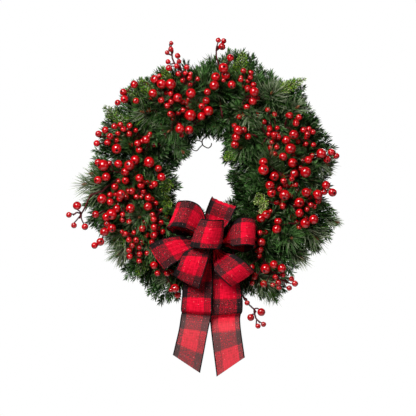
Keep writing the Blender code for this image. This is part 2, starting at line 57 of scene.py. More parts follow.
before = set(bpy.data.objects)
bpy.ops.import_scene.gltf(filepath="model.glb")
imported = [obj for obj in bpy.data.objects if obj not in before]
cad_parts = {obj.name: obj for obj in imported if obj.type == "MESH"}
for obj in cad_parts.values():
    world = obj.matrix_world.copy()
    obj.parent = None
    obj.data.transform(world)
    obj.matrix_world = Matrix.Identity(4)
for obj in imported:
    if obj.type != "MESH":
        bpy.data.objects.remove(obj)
CAD_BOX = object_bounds()
RING_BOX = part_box("ring_frame")

MM = 0.001
RING_CENTRE = np.array([
    (RING_BOX[0][0] + RING_BOX[1][0]) / 2, 0.0, (RING_BOX[0][2] + RING_BOX[1][2]) / 2
])
OUTER_RING = 175.0          # ring radii, mm
INNER_RING = 130.0
INNER_FEET = 160.0          # feet nearer the middle than this hold to the inner ring, mm
RING_WIRE_RADIUS = 0.0020   # these three in metres
CROSS_BAR_RADIUS = 0.0018
RIBBON_WIDTH = 0.0635
OUTER_RANK = (12, 15)       # how many branches each rank has, and the angle of its first
INNER_RANK = (10, 18)
KNOT = (0.0, -146.0)        # the middle of the bow tie, mm right of and above the ring's middle
KNOT_BACK = 46.0            # how far forward the tie starts and ends, mm
KNOT_FRONT = 84.0
COIL_RADIUS = 5.6           # from the tie's middle to the wire coiled round it, mm
CORE_RADIUS = 0.0052        # of the core inside the coil, and of the two wires, m
COIL_WIRE_RADIUS = 0.0009
TIE_WIRE_RADIUS = 0.0010
KNOT_ANGLE = 262            # where the tie's wire goes round the inner ring, degrees
UNDER_BOW = (232, 306)      # tips between these angles stay low, behind the bow
GOLDEN_TURN = math.radians(137.5)
# Radii of the stems at their feet and at their ends, in metres.
TIP_STEM = (0.0011, 0.00055)
FIR_TWIG = (0.0011, 0.0006)
FIR_STEM = (0.0015, 0.0012)
SPRIG_STEM = (0.0016, 0.0012)
VINE_STEM = (0.0015, 0.0011)
FIR_TWIG_SPACING = 0.0075   # from one side twig of a moulded tip to the next, m
# A bud: places along the sprig's last few millimetres and past its end, and its radius
# at each, in metres.
BUD_PLACES = np.linspace(-0.003, 0.011, 6)
BUD_RADII = (0.0012, 0.0032, 0.0040, 0.0036, 0.0022, 0.0006)
CAMERA_AIM = (-8.8, -72.0)  # what the camera looks at, mm right of and above the ring's middle
GREENERY_FRONT = 60.0       # how far forward the camera's distance is measured to, mm
FLOOR_RADIUS = 1.6          # m
WHITE = (1.0, 1.0, 1.0, 1.0)
BAKE_MAP = "OFBake"

# Tips in rows round the wreath: how many, from which angle and over how many degrees,
# the radius of their feet and ends, how far forward feet and ends lie (mm), and how far
# the ends lean round the wreath in degrees.
OUTER_ROWS = (
    (54, 0, 360, 172, 240, 6, 24, 0), (50, 4, 360, 160, 226, 10, 38, -6),
    (40, 0, 360, 176, 240, -2, -4, 4), (44, 2, 360, 166, 208, 14, 52, 12),
    (36, 0, 360, 165, 175, 4, 14, 22), (40, 5, 360, 172, 188, 14, 52, -20),
    (34, 3, 360, 170, 222, 18, 50, 14), (6, 186, 10, 196, 250, 8, 20, 0),
    (8, 193, 13, 200, 272, 8, 20, 0), (12, 222, 42, 190, 252, -4, 4, 0),
    (12, 224, 42, 200, 266, 4, 14, 5), (10, 286, 34, 192, 262, 2, 10, 0),
    (7, -38, 20, 190, 264, 6, 20, 0), (7, 20, 20, 190, 240, 6, 30, 0),
    (16, -78, 60, 160, 148, 6, 30, 4),
)
INNER_ROWS = (
    (36, 0, 360, 150, 160, 14, 56, 18), (34, 3, 360, 142, 122, 12, 48, -8),
    (30, 0, 360, 140, 140, 2, 10, 24), (30, 6, 360, 130, 122, 6, 22, -22),
    (18, -40, 104, 120, 92, 10, 40, 8), (16, -34, 88, 112, 84, 4, 22, -8),
    (14, -40, 90, 120, 104, 14, 46, 20), (28, 0, 360, 152, 146, 14, 40, -22),
    (44, 2, 360, 132, 166, 0, 4, 14), (7, -84, 44, 128, 104, 4, 16, 0),
)
# Rim tips: angle round the wreath in degrees, and how far the needles reach, mm.
RIM_TIPS = (
    (0, 266), (6, 278), (13, 284), (19, 275), (26, 264), (32, 268), (39, 273), (44, 286), (49, 284),
    (54, 262), (60, 270), (66, 268), (71, 286), (76, 290), (82, 284), (88, 262), (94, 256),
    (100, 240), (106, 236), (112, 254), (118, 266), (124, 264), (130, 274), (136, 276), (142, 264),
    (148, 273), (154, 272), (161, 268), (168, 270), (175, 272), (183, 274), (190, 278), (197, 286),
    (203, 291), (210, 277), (217, 272), (224, 290), (230, 300), (236, 286), (242, 301), (248, 313),
    (254, 291), (262, 269), (270, 255), (278, 258), (286, 272), (292, 296), (297, 317), (302, 307),
    (309, 287), (316, 280), (321, 272), (326, 286), (332, 300), (338, 299), (343, 290), (348, 254),
    (354, 256),
)
# Inner tips: angle round the hole's middle in degrees, and the hole's radius there, mm.
HOLE_CENTRE = (-20.0, 10.0)
HOLE_TIPS = (
    (2, 60), (13, 60), (24, 47), (34, 50), (43, 60), (54, 75), (64, 76), (74, 74), (84, 72),
    (94, 71), (103, 69), (112, 62), (120, 54), (128, 46), (137, 44), (147, 47), (156, 52),
    (165, 51), (174, 59), (184, 62), (195, 57), (205, 56), (213, 58), (221, 84), (232, 84),
    (244, 82), (256, 84), (268, 86), (280, 86), (292, 84), (304, 82), (313, 84), (320, 88),
    (327, 80), (333, 70), (340, 60), (347, 52), (355, 56),
)
# Long-needled sprigs: foot and bud (right, up, forward), needle length in mm, tone.
LONG_SPRIGS = (
    ((124, 160, 18), (131, 178, 54), 56, 0.73), ((78, 150, 24), (83, 131, 54), 44, 0.69),
    ((160, -128, 30), (173, -137, 60), 48, 0.6), ((-226, -22, 22), (-278, -20, 34), 48, 0.77),
    ((-226, -30, 26), (-262, -42, 30), 48, 0.77), ((-222, -12, 24), (-262, 2, 32), 40, 0.77),
    ((-146, -80, 30), (-157, -91, 58), 52, 0.64), ((-190, -118, 20), (-212, -142, 30), 48, 0.74),
    ((-180, -150, 24), (-205, -171, 36), 46, 0.7), ((222, 34, 16), (250, 24, 24), 44, 0.72),
    ((240, -92, 14), (274, -102, 20), 24, 0.7), ((205, -115, 16), (228, -136, 26), 52, 0.72),
    ((172, -168, 14), (196, -182, 24), 40, 0.72), ((96, -214, 22), (116, -240, 46), 50, 0.8),
    ((120, -226, 12), (134, -262, 20), 40, 0.76), ((124, 8, 40), (129, 44, 54), 46, 0.64),
    ((-128, 130, 30), (-150, 138, 52), 48, 0.74), ((-104, 150, 30), (-107, 168, 50), 40, 0.72),
    ((-36, 128, 30), (-38, 148, 50), 40, 0.72), ((-70, 112, 28), (-92, 98, 48), 54, 0.6),
    ((36, 118, 26), (10, 110, 42), 32, 0.55), ((88, 74, 30), (66, 62, 50), 46, 0.62),
    ((168, 132, 24), (186, 148, 42), 42, 0.7), ((-60, -206, 16), (-92, -230, 26), 42, 0.7),
    ((150, 60, 30), (176, 44, 50), 40, 0.6), ((-178, 60, 30), (-190, 84, 50), 40, 0.62),
    ((-84, 72, 24), (-66, 54, 40), 30, 0.62),
)
# Moulded fir tips: foot and end (right, up, forward), width in mm, tone.
FIR_TIPS = (
    ((-92, 196, 40), (-108, 238, 46), 30, 0.87), ((-122, 160, 44), (-158, 214, 50), 38, 0.84),
    ((-146, 150, 42), (-188, 190, 48), 36, 0.84), ((-206, 118, 40), (-236, 150, 44), 38, 0.82),
    ((-170, 96, 44), (-210, 134, 54), 40, 0.84), ((-132, 160, 46), (-152, 192, 52), 30, 0.86),
    ((-96, -4, 44), (-104, -46, 56), 30, 0.92), ((-100, -44, 44), (-100, -84, 54), 26, 0.9),
    ((114, -40, 50), (95, -62, 64), 20, 0.97), ((120, -50, 52), (106, -82, 66), 22, 0.97),
    ((56, 54, 36), (30, 36, 42), 28, 0.88), ((146, 184, 44), (206, 213, 40), 30, 0.91),
    ((160, 188, 30), (166, 206, 40), 30, 0.84), ((60, 205, 34), (68, 272, 36), 44, 0.88),
    ((212, -144, 20), (238, -164, 26), 26, 0.84), ((40, 224, 22), (34, 262, 26), 30, 0.82),
    ((-186, -120, 36), (-204, -150, 42), 26, 0.84), ((-148, -186, 30), (-162, -222, 34), 30, 0.82),
)
# Dry curled vine that shows in the hole, as points (right, up, forward).
CURLED_VINES = (
    ((-46, 86, 6), (-41, 73, 12), (-34, 77, 15), (-25, 76, 16), (-21, 69, 15), (-28, 61, 14),
     (-34, 55, 14), (-42, 57, 12), (-47, 64, 8)),
    ((-12, 88, 6), (-21, 79, 12), (-21, 69, 16), (-16, 64, 16), (-8, 61, 14), (-2, 66, 12),
     (-1, 72, 10)),
)
# Each spray: the angle of its foot on the inner ring (or the outer one), its stems
# as points (right, up, forward), and its berries as (right, up, forward, radius).  One
# that isn't shaded stands in the open; rise is how far forward its foot goes.
SPRAYS = {
    "spray_upright": dict(
        angle=109, shaded=False,
        stems=[[(-46, 160, 56), (-50, 188, 58), (-60, 213, 60), (-68, 232, 60), (-72, 250, 60)],
               [(-68, 232, 60), (-82, 245, 62), (-88, 262, 62), (-89, 284, 62)]],
        berries=[(-89, 289, 62, 5), (-90, 275, 66, 6), (-98, 268, 62, 5.5), (-75, 261, 64, 6.5),
                 (-72, 249, 62, 5.5), (-96, 248, 64, 6), (-77, 238, 70, 6), (-94, 234, 66, 7.5),
                 (-55, 236, 64, 6.5), (-73, 221, 72, 6.5), (-58, 223, 64, 5.5), (-47, 221, 62, 5.5),
                 (-49, 211, 76, 6), (-31, 210, 66, 5.5), (-64, 207, 66, 6), (-47, 198, 66, 5),
                 (-46, 178, 78, 11)]),
    "spray_top_left": dict(
        angle=133,
        stems=[[(-86, 128, 56), (-88, 155, 58), (-97, 180, 60), (-112, 198, 60)]],
        berries=[(-125, 209, 74, 9.5), (-115, 217, 62, 5.5), (-110, 198, 82, 10.5),
                 (-90, 198, 80, 11.5), (-90, 177, 76, 6), (-75, 168, 80, 10), (-129, 178, 78, 9.5),
                 (-111, 163, 76, 7), (-89, 160, 76, 6.5), (-64, 160, 64, 6), (-98, 151, 74, 6.5),
                 (-91, 133, 72, 7), (-63, 142, 70, 6)]),
    "spray_left_shoulder": dict(
        angle=141,
        stems=[[(-112, 110, 55), (-122, 140, 56), (-130, 170, 57), (-136, 195, 58), (-148, 205, 60),
                (-165, 203, 60), (-180, 191, 60), (-196, 172, 60)],
               [(-130, 170, 57), (-142, 178, 59), (-150, 168, 60), (-162, 165, 60)]],
        berries=[(-170, 198, 70, 9), (-194, 181, 68, 8), (-191, 165, 78, 9), (-206, 158, 68, 7),
                 (-166, 162, 72, 7)]),
    "spray_inner_top": dict(
        angle=98,
        stems=[[(-18, 140, 55), (-16, 160, 57), (-12, 178, 58)],
               [(-18, 132, 50), (-32, 116, 57), (-50, 104, 58), (-66, 95, 58)]],
        berries=[(-47, 130, 82, 12.5), (-23, 128, 74, 9.5), (-8, 139, 84, 11), (-22, 150, 72, 7.5),
                 (-13, 162, 74, 8), (-10, 181, 78, 7.5), (-70, 100, 80, 10), (-50, 98, 76, 9.5),
                 (-66, 87, 66, 5)]),
    "spray_top_centre": dict(
        angle=80, shaded=False,
        stems=[[(18, 160, 40), (18, 190, 38), (26, 225, 50), (32, 240, 58), (37, 250, 62)],
               [(24, 215, 47), (16, 240, 56), (10, 258, 61), (9, 272, 62), (14, 283, 62)]],
        berries=[(5, 195, 82, 10.5), (8, 214, 74, 10), (30, 218, 70, 9.5), (25, 206, 80, 5),
                 (25, 233, 84, 11), (40, 256, 70, 8), (43, 197, 78, 9), (22, 281, 66, 8),
                 (14, 295, 64, 6), (26, 294, 60, 6)]),
    "spray_top_right": dict(
        angle=67,
        stems=[[(60, 140, 55), (70, 165, 57), (76, 190, 58), (76, 208, 58)]],
        berries=[(69, 228, 66, 6.5), (84, 213, 70, 6), (63, 208, 70, 6), (91, 197, 72, 6.5),
                 (78, 189, 78, 7), (92, 181, 84, 10.5), (89, 161, 72, 9), (76, 149, 66, 7),
                 (99, 168, 60, 6)]),
    "spray_inner_right": dict(
        angle=40,
        stems=[[(84, 92, 55), (70, 90, 56), (58, 82, 56)]],
        berries=[(57, 97, 80, 10.5), (49, 108, 68, 6), (52, 82, 74, 9.5), (70, 99, 64, 7),
                 (79, 84, 64, 7), (50, 67, 68, 9)]),
    "spray_right_shoulder": dict(
        angle=32,
        stems=[[(122, 84, 55), (140, 98, 56), (160, 104, 57), (180, 104, 58), (198, 100, 59)]],
        berries=[(170, 130, 72, 7.5), (190, 126, 74, 7), (183, 113, 80, 7.5), (200, 98, 72, 7),
                 (212, 101, 66, 6), (221, 94, 66, 6), (208, 88, 80, 6.5), (178, 88, 80, 10.5),
                 (162, 76, 74, 9.5), (135, 88, 74, 7), (145, 83, 66, 7), (131, 72, 62, 5.5),
                 (143, 103, 64, 5.5), (122, 143, 62, 6), (137, 133, 62, 6), (206, 68, 62, 5.5),
                 (222, 66, 68, 6)]),
    "spray_right": dict(
        angle=25,
        stems=[[(135, 52, 55), (160, 46, 56), (185, 41, 57), (212, 41, 58), (240, 42, 59),
                (256, 42, 60)]],
        berries=[(171, 57, 82, 12), (155, 40, 78, 9), (142, 61, 66, 6), (138, 46, 64, 5.5),
                 (176, 27, 68, 10.5), (210, 33, 78, 8.5), (238, 47, 82, 11), (251, 34, 72, 8.5),
                 (261, 50, 70, 8), (272, 42, 64, 7)]),
    "spray_mid_right": dict(
        angle=8,
        stems=[[(146, 7, 55), (165, 0, 56), (185, -4, 57), (196, -2, 58)]],
        berries=[(204, 6, 82, 12), (180, 3, 68, 9), (174, -9, 80, 6), (156, -13, 76, 7),
                 (161, -22, 62, 6), (183, -21, 70, 6)]),
    "spray_inner_mid_right": dict(
        angle=352,
        stems=[[(122, -8, 55), (115, 8, 56), (111, 20, 57)],
               [(125, -13, 51), (134, -26, 56), (144, -37, 57)]],
        berries=[(112, 28, 74, 10), (112, 11, 84, 12), (136, -3, 70, 10.5), (126, -23, 82, 10),
                 (130, -39, 74, 10), (148, -31, 68, 6), (158, -44, 82, 12)]),
    "spray_low_right_edge": dict(
        angle=335,
        stems=[[(140, -62, 55), (165, -62, 56), (195, -54, 57), (220, -48, 58), (244, -40, 59)]],
        berries=[(205, -38, 80, 10), (230, -43, 84, 11), (249, -22, 76, 9.5), (263, -38, 74, 9.5),
                 (246, -37, 64, 7), (191, -60, 70, 11), (213, -48, 62, 6), (232, -57, 66, 6.5),
                 (216, -65, 72, 6), (224, -69, 64, 5.5), (208, -75, 62, 6), (191, -83, 76, 9.5),
                 (155, -68, 62, 8)]),
    "spray_lower_right": dict(
        angle=322,
        stems=[[(118, -98, 55), (140, -110, 56), (170, -106, 57), (194, -102, 58)]],
        berries=[(118, -86, 84, 9.5), (107, -94, 68, 10), (144, -101, 70, 8.5), (141, -118, 82, 10),
                 (203, -105, 82, 11), (222, -97, 72, 10.5)]),
    "spray_bottom_right": dict(
        angle=313,
        stems=[[(98, -114, 55), (103, -140, 56), (106, -168, 57), (116, -190, 58), (132, -212, 58),
                (150, -228, 58), (163, -234, 59)]],
        berries=[(105, -126, 72, 6), (108, -147, 68, 9), (106, -164, 64, 7), (103, -176, 60, 6),
                 (117, -205, 70, 11), (135, -195, 76, 9), (152, -203, 82, 9.5), (138, -223, 72, 6),
                 (155, -218, 70, 6), (145, -235, 72, 6.5), (133, -240, 66, 5.5), (147, -246, 64, 6),
                 (113, -238, 64, 8), (93, -224, 58, 6), (88, -237, 56, 6), (174, -227, 68, 6),
                 (181, -237, 72, 7), (169, -247, 66, 6)]),
    "spray_hanging": dict(
        angle=286, rise=40, shaded=False,
        stems=[[(44, -160, 49), (52, -190, 50), (58, -230, 50), (66, -262, 51), (80, -283, 52),
                (92, -294, 53), (97, -301, 53)],
               [(92, -294, 53), (94, -306, 53), (98, -316, 53), (105, -324, 53)]],
        berries=[(108, -300, 58, 9), (85, -312, 55, 8), (77, -280, 58, 6), (113, -327, 55, 6),
                 (101, -331, 53, 6)]),
    "spray_left_shoulder_low": dict(
        angle=150,
        stems=[[(-130, 79, 55), (-160, 86, 56), (-185, 89, 57), (-210, 88, 58), (-234, 84, 59)]],
        berries=[(-233, 98, 74, 8), (-248, 90, 70, 7.5), (-252, 69, 70, 7.5), (-222, 84, 82, 7.5),
                 (-228, 71, 70, 7.5), (-209, 75, 64, 6), (-206, 91, 66, 6), (-213, 106, 74, 7),
                 (-200, 110, 70, 6.5), (-193, 100, 78, 6.5), (-180, 108, 72, 6.5),
                 (-181, 90, 68, 7), (-167, 98, 64, 5.5), (-208, 57, 78, 11)]),
    "spray_inner_left": dict(
        angle=172,
        stems=[[(-136, 30, 54), (-146, 46, 56), (-152, 62, 57)],
               [(-136, 30, 54), (-158, 28, 56), (-176, 18, 57)],
               [(-129, 20, 44), (-122, 8, 54), (-116, 2, 56)]],
        berries=[(-144, 77, 80, 9), (-162, 69, 76, 8), (-153, 74, 62, 6), (-159, 55, 70, 7.5),
                 (-137, 28, 82, 12), (-168, 33, 68, 10.5), (-180, 21, 84, 11.5), (-190, 7, 74, 9),
                 (-117, 14, 74, 8), (-110, -5, 80, 9.5)]),
    "spray_left": dict(
        angle=188,
        stems=[[(-145, -16, 55), (-170, -8, 56), (-195, 4, 57), (-216, 8, 58), (-236, 8, 58)],
               [(-145, -16, 55), (-154, -30, 57), (-164, -40, 57)]],
        berries=[(-158, -7, 82, 9), (-155, -23, 72, 8), (-125, -20, 76, 7.5), (-150, -36, 66, 6),
                 (-165, -48, 70, 6), (-155, -49, 62, 5.5), (-176, -36, 68, 7.5),
                 (-189, -12, 66, 8.5), (-204, 24, 78, 9), (-237, 21, 82, 12.5), (-249, 28, 66, 8),
                 (-231, -4, 76, 9.5), (-249, -11, 70, 9)]),
    "spray_far_left": dict(
        angle=187, ring="outer", rise=42, shaded=False,
        stems=[[(-188, -14, 48), (-203, -7, 51), (-222, -20, 54), (-245, -37, 56), (-262, -42, 58),
                (-269, -50, 58), (-278, -70, 60), (-286, -85, 60), (-290, -95, 60)],
               [(-286, -85, 60), (-296, -82, 60), (-304, -88, 61)]],
        berries=[(-295, -67, 68, 9.5), (-313, -87, 64, 6.5), (-302, -110, 64, 6.5),
                 (-278, -113, 64, 7.5)]),
    "spray_lower_left_edge": dict(
        angle=207,
        stems=[[(-140, -62, 55), (-170, -62, 56), (-195, -66, 57), (-222, -74, 58), (-242, -80, 59)],
               [(-222, -74, 58), (-229, -98, 58), (-235, -124, 58), (-245, -144, 59)]],
        berries=[(-198, -42, 82, 10), (-202, -52, 64, 7), (-240, -52, 80, 11), (-223, -43, 68, 6.5),
                 (-222, -59, 78, 8), (-211, -42, 64, 5.5), (-209, -73, 66, 9), (-219, -86, 84, 12),
                 (-231, -92, 64, 10), (-254, -86, 74, 8), (-230, -107, 60, 7), (-212, -26, 72, 8),
                 (-178, -73, 78, 10), (-195, -86, 72, 6), (-196, -98, 66, 6), (-181, -102, 70, 6),
                 (-235, -124, 72, 10), (-219, -116, 70, 9.5), (-244, -146, 68, 9),
                 (-257, -154, 64, 7.5)]),
    "spray_inner_low_left": dict(
        angle=216,
        stems=[[(-118, -86, 55), (-120, -105, 56), (-120, -128, 57), (-124, -142, 57)],
               [(-112, -80, 52), (-126, -72, 56), (-134, -62, 57)]],
        berries=[(-139, -50, 72, 8), (-140, -69, 76, 9.5), (-130, -87, 72, 6.5), (-127, -97, 80, 7),
                 (-126, -114, 74, 8), (-127, -132, 74, 8), (-131, -147, 60, 6.5),
                 (-111, -104, 62, 6), (-108, -124, 58, 6)]),
    "spray_low_left": dict(
        angle=218, ring="outer",
        stems=[[(-148, -122, 54), (-160, -138, 56), (-168, -152, 57), (-170, -168, 58),
                (-167, -182, 58)]],
        berries=[(-152, -117, 72, 8), (-189, -128, 70, 5.5), (-197, -124, 62, 5),
                 (-171, -126, 68, 5.5), (-181, -142, 74, 6.5), (-166, -142, 72, 6.5),
                 (-174, -154, 78, 6), (-159, -159, 68, 5.5), (-181, -165, 74, 6.5),
                 (-180, -178, 74, 7), (-158, -173, 74, 6.5), (-159, -188, 70, 6)]),
    "spray_bottom_left": dict(
        angle=232, ring="outer", rise=42,
        stems=[[(-112, -160, 49), (-114, -188, 51), (-110, -210, 54), (-98, -228, 56),
                (-88, -244, 56), (-80, -254, 56)]],
        berries=[(-127, -197, 70, 8.5), (-119, -215, 70, 6.5), (-98, -215, 64, 7),
                 (-81, -247, 74, 9.5), (-90, -252, 60, 5.5), (-75, -263, 56, 7)]),
}

# Each ribbon: stations along its middle line, (right, up, forward) and the half width
# there as (right, up, forward).
RIBBONS = {
    "bow_loop_lower_left": (
        ((-2.5, -152.5, 74), (2.6, -1, 0)), ((-13, -156, 80), (10, -1, 0)),
        ((-31, -166, 96), (28, 0, 0)), ((-46, -204, 102), (29, -7, 0)),
        ((-57, -232, 86), (29, -14, 0)), ((-48, -208, 66), (26, -8, 0)),
        ((-22, -172, 60), (14, -4, 0)), ((-2.5, -152.5, 65), (2.6, -1, 0)),
    ),
    "bow_loop_lower_right": (
        ((3.9, -151.8, 74), (2.2, 1.6, 0)), ((13, -171, 65), (6, 4.5, 0)),
        ((23, -186, 82), (20, 14, 0)), ((35, -197, 96), (25, 17, 0)),
        ((50, -210, 101), (27, 17, 0)), ((67, -226, 84), (26, 17, 0)),
        ((54, -210, 66), (24, 16, 0)), ((27, -178, 56), (10, 7, 0)),
        ((3.9, -151.8, 65), (2.2, 1.6, 0)),
    ),
    "bow_loop_left": (
        ((-7, -147, 74), (0.4, -2.7, 0)), ((-26, -148, 75), (4, -7, 0)),
        ((-58, -153, 82), (14, -20, 0)), ((-97, -166, 96), (17.5, -25, 0)),
        ((-120, -181, 82), (18, -26, 0)), ((-98, -170, 67), (15, -22, 0)),
        ((-46, -153, 60), (7, -10, 0)), ((-7, -147, 65), (0.4, -2.7, 0)),
    ),
    "bow_loop_upper_left": (
        ((-5, -141.1, 74), (2, 2, 0)), ((-15, -126, 72), (5, 8, -2)),
        ((-35, -96, 91), (11, 25, -8)), ((-62, -84, 105), (13, 28, -11)),
        ((-88, -88, 86), (12, 27, -12)), ((-66, -104, 62), (10, 26, -13)),
        ((-26, -122, 60), (6, 13, -7)), ((-5, -141.1, 65), (2, 2, 0)),
    ),
    "bow_loop_top": (
        ((1.8, -139.2, 74), (2.7, -0.6, 0)), ((4, -122, 77), (10, -3, 0)),
        ((10, -98, 92), (25, -9, 0)), ((20, -72, 100), (27, -11, 0)), ((27, -58, 84), (27, -11, 0)),
        ((21, -74, 66), (25, -11, 0)), ((7, -110, 59), (12, -5, 0)),
        ((1.8, -139.2, 65), (2.7, -0.6, 0)),
    ),
    "bow_loop_right": (
        ((7, -145.6, 74), (0, 2.7, 0)), ((23, -145, 65), (1, 3.5, 0)),
        ((35, -138, 67), (0, 12, -3)), ((43, -129, 83), (0, 25, -7)), ((56, -124, 98), (0, 30, -9)),
        ((74, -122, 104), (0, 30, -10)), ((92, -127, 84), (0, 29, -12)),
        ((72, -143, 64), (0, 26, -12)), ((36, -146, 56), (0, 13, -6)),
        ((7, -145.6, 65), (0, 2.7, 0)),
    ),
    "bow_loop_centre": (
        ((-3, -146, 85.2), (0.6, 4, 0)), ((-22, -134, 94), (6, 18, 0)),
        ((-36, -126, 104), (11, 30, 0)), ((-8, -129, 126), (9, 31, 0)),
        ((21, -130, 106), (5, 31, 0)), ((12, -138, 94), (4, 18, 0)), ((3, -146, 85.2), (0.6, 4, 0)),
    ),
    "bow_tail_left": (
        ((-3.7, -151.6, 57), (2.4, -1.5, 0)), ((-12, -190, 54), (11, 0, 1)),
        ((-29, -230, 60), (31, 0, 2)), ((-33, -268, 67), (33, -1, 2)),
        ((-34, -296, 69), (34, -3, 2)), ((-33.5, -303, 58), (33, -3, 2)),
        ((-36, -314, 60), (32.5, -4, 2)), ((-42, -346, 66), (31.5, -5, 2)),
        ((-56, -413.5, 60), (30, -19.5, 2)),
    ),
    "bow_tail_right": (
        ((3.7, -151.6, 53), (2.4, 1.5, 0)), ((11, -190, 49), (10, 0, 2)),
        ((29, -230, 54), (29, 0, 3)), ((33, -270, 60), (33.5, 1, 3)),
        ((32, -300, 60), (34.5, 2, 3)), ((29.5, -309, 49), (33.5, 2, 3)),
        ((29, -322, 51), (33, 3, 2)), ((32, -352, 58), (32.5, 5, 2)),
        ((41, -420.5, 56), (31, 21.5, 2)),
    ),
}
# For each ribbon: where its checks start along it in mm, how much its checks are
# stretched, which way round it lies, and how far it is cupped in mm.
RIBBON_LAY = {
    "bow_loop_lower_left": (19, 1.0, 1, 2.5),
    "bow_loop_lower_right": (-12, 1.0, -1, 2.5),
    "bow_loop_left": (19, 1.0, 1, 2.5),
    "bow_loop_upper_left": (46, 1.1, 1, 2.5),
    "bow_loop_top": (-15, 1.0, 1, 2.5),
    "bow_loop_right": (-8, 1.05, -1, 2.5),
    "bow_loop_centre": (0, 1.0, 1, 2.5),
    "bow_tail_left": (35, 1.1, 1, 1.0),
    "bow_tail_right": (-4, 1.1, -1, 1.0),
}
# Where along each tail's checks its painted light begins, in metres: from there on the cloth
# is washed paler and greyer, as where more light falls on the hanging end.
TAIL_PAINTED_LIGHT = {"bow_tail_left": 0.178, "bow_tail_right": 0.149}
# Places across one half of the ribbon, as shares of its half width, and how thick it is
# there, as a share of the bead that holds the edge wire.
HALF_ACROSS = (
    (0.125, 0.25), (0.25, 0.25), (0.375, 0.25), (0.5, 0.25), (0.625, 0.25), (0.75, 0.25),
    (0.86, 0.25), (0.942, 0.35), (0.962, 1.0), (0.985, 1.0), (1.0, 0.4),
)
ACROSS = (*((-share, thick) for share, thick in reversed(HALF_ACROSS)), (0.0, 0.25), *HALF_ACROSS)


def place(right, up, forward):
    """Model-space point of a place given in millimetres from the ring's middle."""
    return RING_CENTRE + np.array([right, -forward, up]) * MM


def around(angle, radius, forward=0.0):
    """Model-space point at an angle in degrees and a radius in millimetres."""
    turn = math.radians(angle)
    return place(math.cos(turn) * radius, math.sin(turn) * radius, forward)


def linear(colour):
    """Linear RGB of an sRGB hex colour."""
    values = [int(colour[start:start + 2], 16) / 255 for start in (1, 3, 5)]
    return tuple(v / 12.92 if v <= 0.04045 else ((v + 0.055) / 1.055) ** 2.4 for v in values)


# ---------------------------------------------------------------- materials


def add_node(tree, kind, links=(), stops=None, **settings):
    """Add a shader node with its settings and links.

    links gives its inputs, in order or by name or number: each a value, a socket, or a
    node whose first output is meant.  stops are the places and colours of a ramp.
    """
    made = tree.nodes.new("ShaderNode" + kind)
    for name, value in settings.items():
        setattr(made, name, value)
    if stops:
        ramp = made.color_ramp
        while len(ramp.elements) < len(stops):
            ramp.elements.new(1.0)
        for element, (position, colour) in zip(ramp.elements, stops):
            element.position = position
            element.color = (*colour, 1.0)
    for name, value in links.items() if isinstance(links, dict) else enumerate(links):
        if isinstance(value, bpy.types.Node):
            value = value.outputs[0]
        if isinstance(value, bpy.types.NodeSocket):
            tree.links.new(value, made.inputs[name])
        else:
            made.inputs[name].default_value = value
    return made


def new_material(name, **constants):
    """Start a material whose shader has these constant values; returns it, tree, shader."""
    material = bpy.data.materials.new(name)
    material.use_nodes = True
    tree = material.node_tree
    shader = tree.nodes["Principled BSDF"]
    for socket, value in constants.items():
        shader.inputs[socket.replace("_", " ")].default_value = value
    return material, tree, shader


def grey(value):
    """An even RGB of that value."""
    return (value, value, value)


def per_metre(size):
    """Scale of a pattern whose spots lie that many millimetres apart."""
    return 1 / (size * MM)


def mottled(name, size, detail, stops, bump=0.0, **constants):
    """A material mottled by spots of a size in millimetres, and raised by them with bump."""
    material, tree, shader = new_material(name, **constants)
    coords = add_node(tree, "TexCoord")
    noise = add_node(tree, "TexNoise", {
        "Vector": coords.outputs["Object"], "Scale": per_metre(size), "Detail": detail,
    })
    colour = add_node(tree, "ValToRGB", [noise], stops)
    tree.links.new(colour.outputs[0], shader.inputs["Base Color"])
    if bump:
        relief = add_node(tree, "Bump", {"Height": noise, "Strength": bump, "Distance": 0.0004})
        tree.links.new(relief.outputs[0], shader.inputs["Normal"])
    return material


def make_needle_material(settings):
    """Sheeted PVC, cut to needles: soft sheen, darkened towards the root by painted shade, as deep
    in the brush, and paler at the tip, partly its own paler end and partly painted light.

    The map runs along each needle, and across it from the darkest needles to the
    dry pale ones and the moulded yellow-green ones.
    """
    material, tree, shader = new_material(
        "cut_pvc_needles", Roughness=0.42, IOR=1.5, Specular_IOR_Level=0.12)
    parts = add_node(tree, "SeparateXYZ", [add_node(tree, "UVMap", uv_map=BAKE_MAP)])
    kind = add_node(tree, "ValToRGB", [parts.outputs[1]], [
        (0.0, tuple(settings.dark)), (0.30, tuple(settings.middle)),
        (0.55, tuple(settings.light)), (0.62, linear("#4a7038")), (0.76, linear("#b0b898")),
        (0.80, linear("#3f6a2a")), (0.88, linear("#5f9626")), (0.96, linear("#a4cc34")),
        # the palest stop, reached only by the brightest moulded tips, is partly their own pale
        # yellow-green and partly painted glint
        (1.0, linear("#dce2a8")),
    ])
    # Painted shade and light along each needle: near black at the root, as deep in the brush, and
    # brighter than its own colour towards the tip.
    along = add_node(tree, "ValToRGB", [parts.outputs[0]], [
        (0.0, grey(0.07)), (0.30, grey(0.45)), (0.75, grey(1.1)), (1.0, grey(1.75)),
    ])
    shade = add_node(tree, "Mix", {0: 1.0, 6: kind, 7: along},
                     data_type="RGBA", blend_type="MULTIPLY")
    tree.links.new(shade.outputs[2], shader.inputs["Base Color"])
    return material


def make_stem_material():
    """Twisted wire wrapped in brown-green floral tape: matt, with the wrap's ridges."""
    return mottled("taped_stem_wire", 3.846, 3.0, [
        (0.30, linear("#1f2a17")), (0.50, linear("#3d3520")), (0.70, linear("#5a4428")),
    ], bump=0.6, Roughness=0.8, Specular_IOR_Level=0.2)


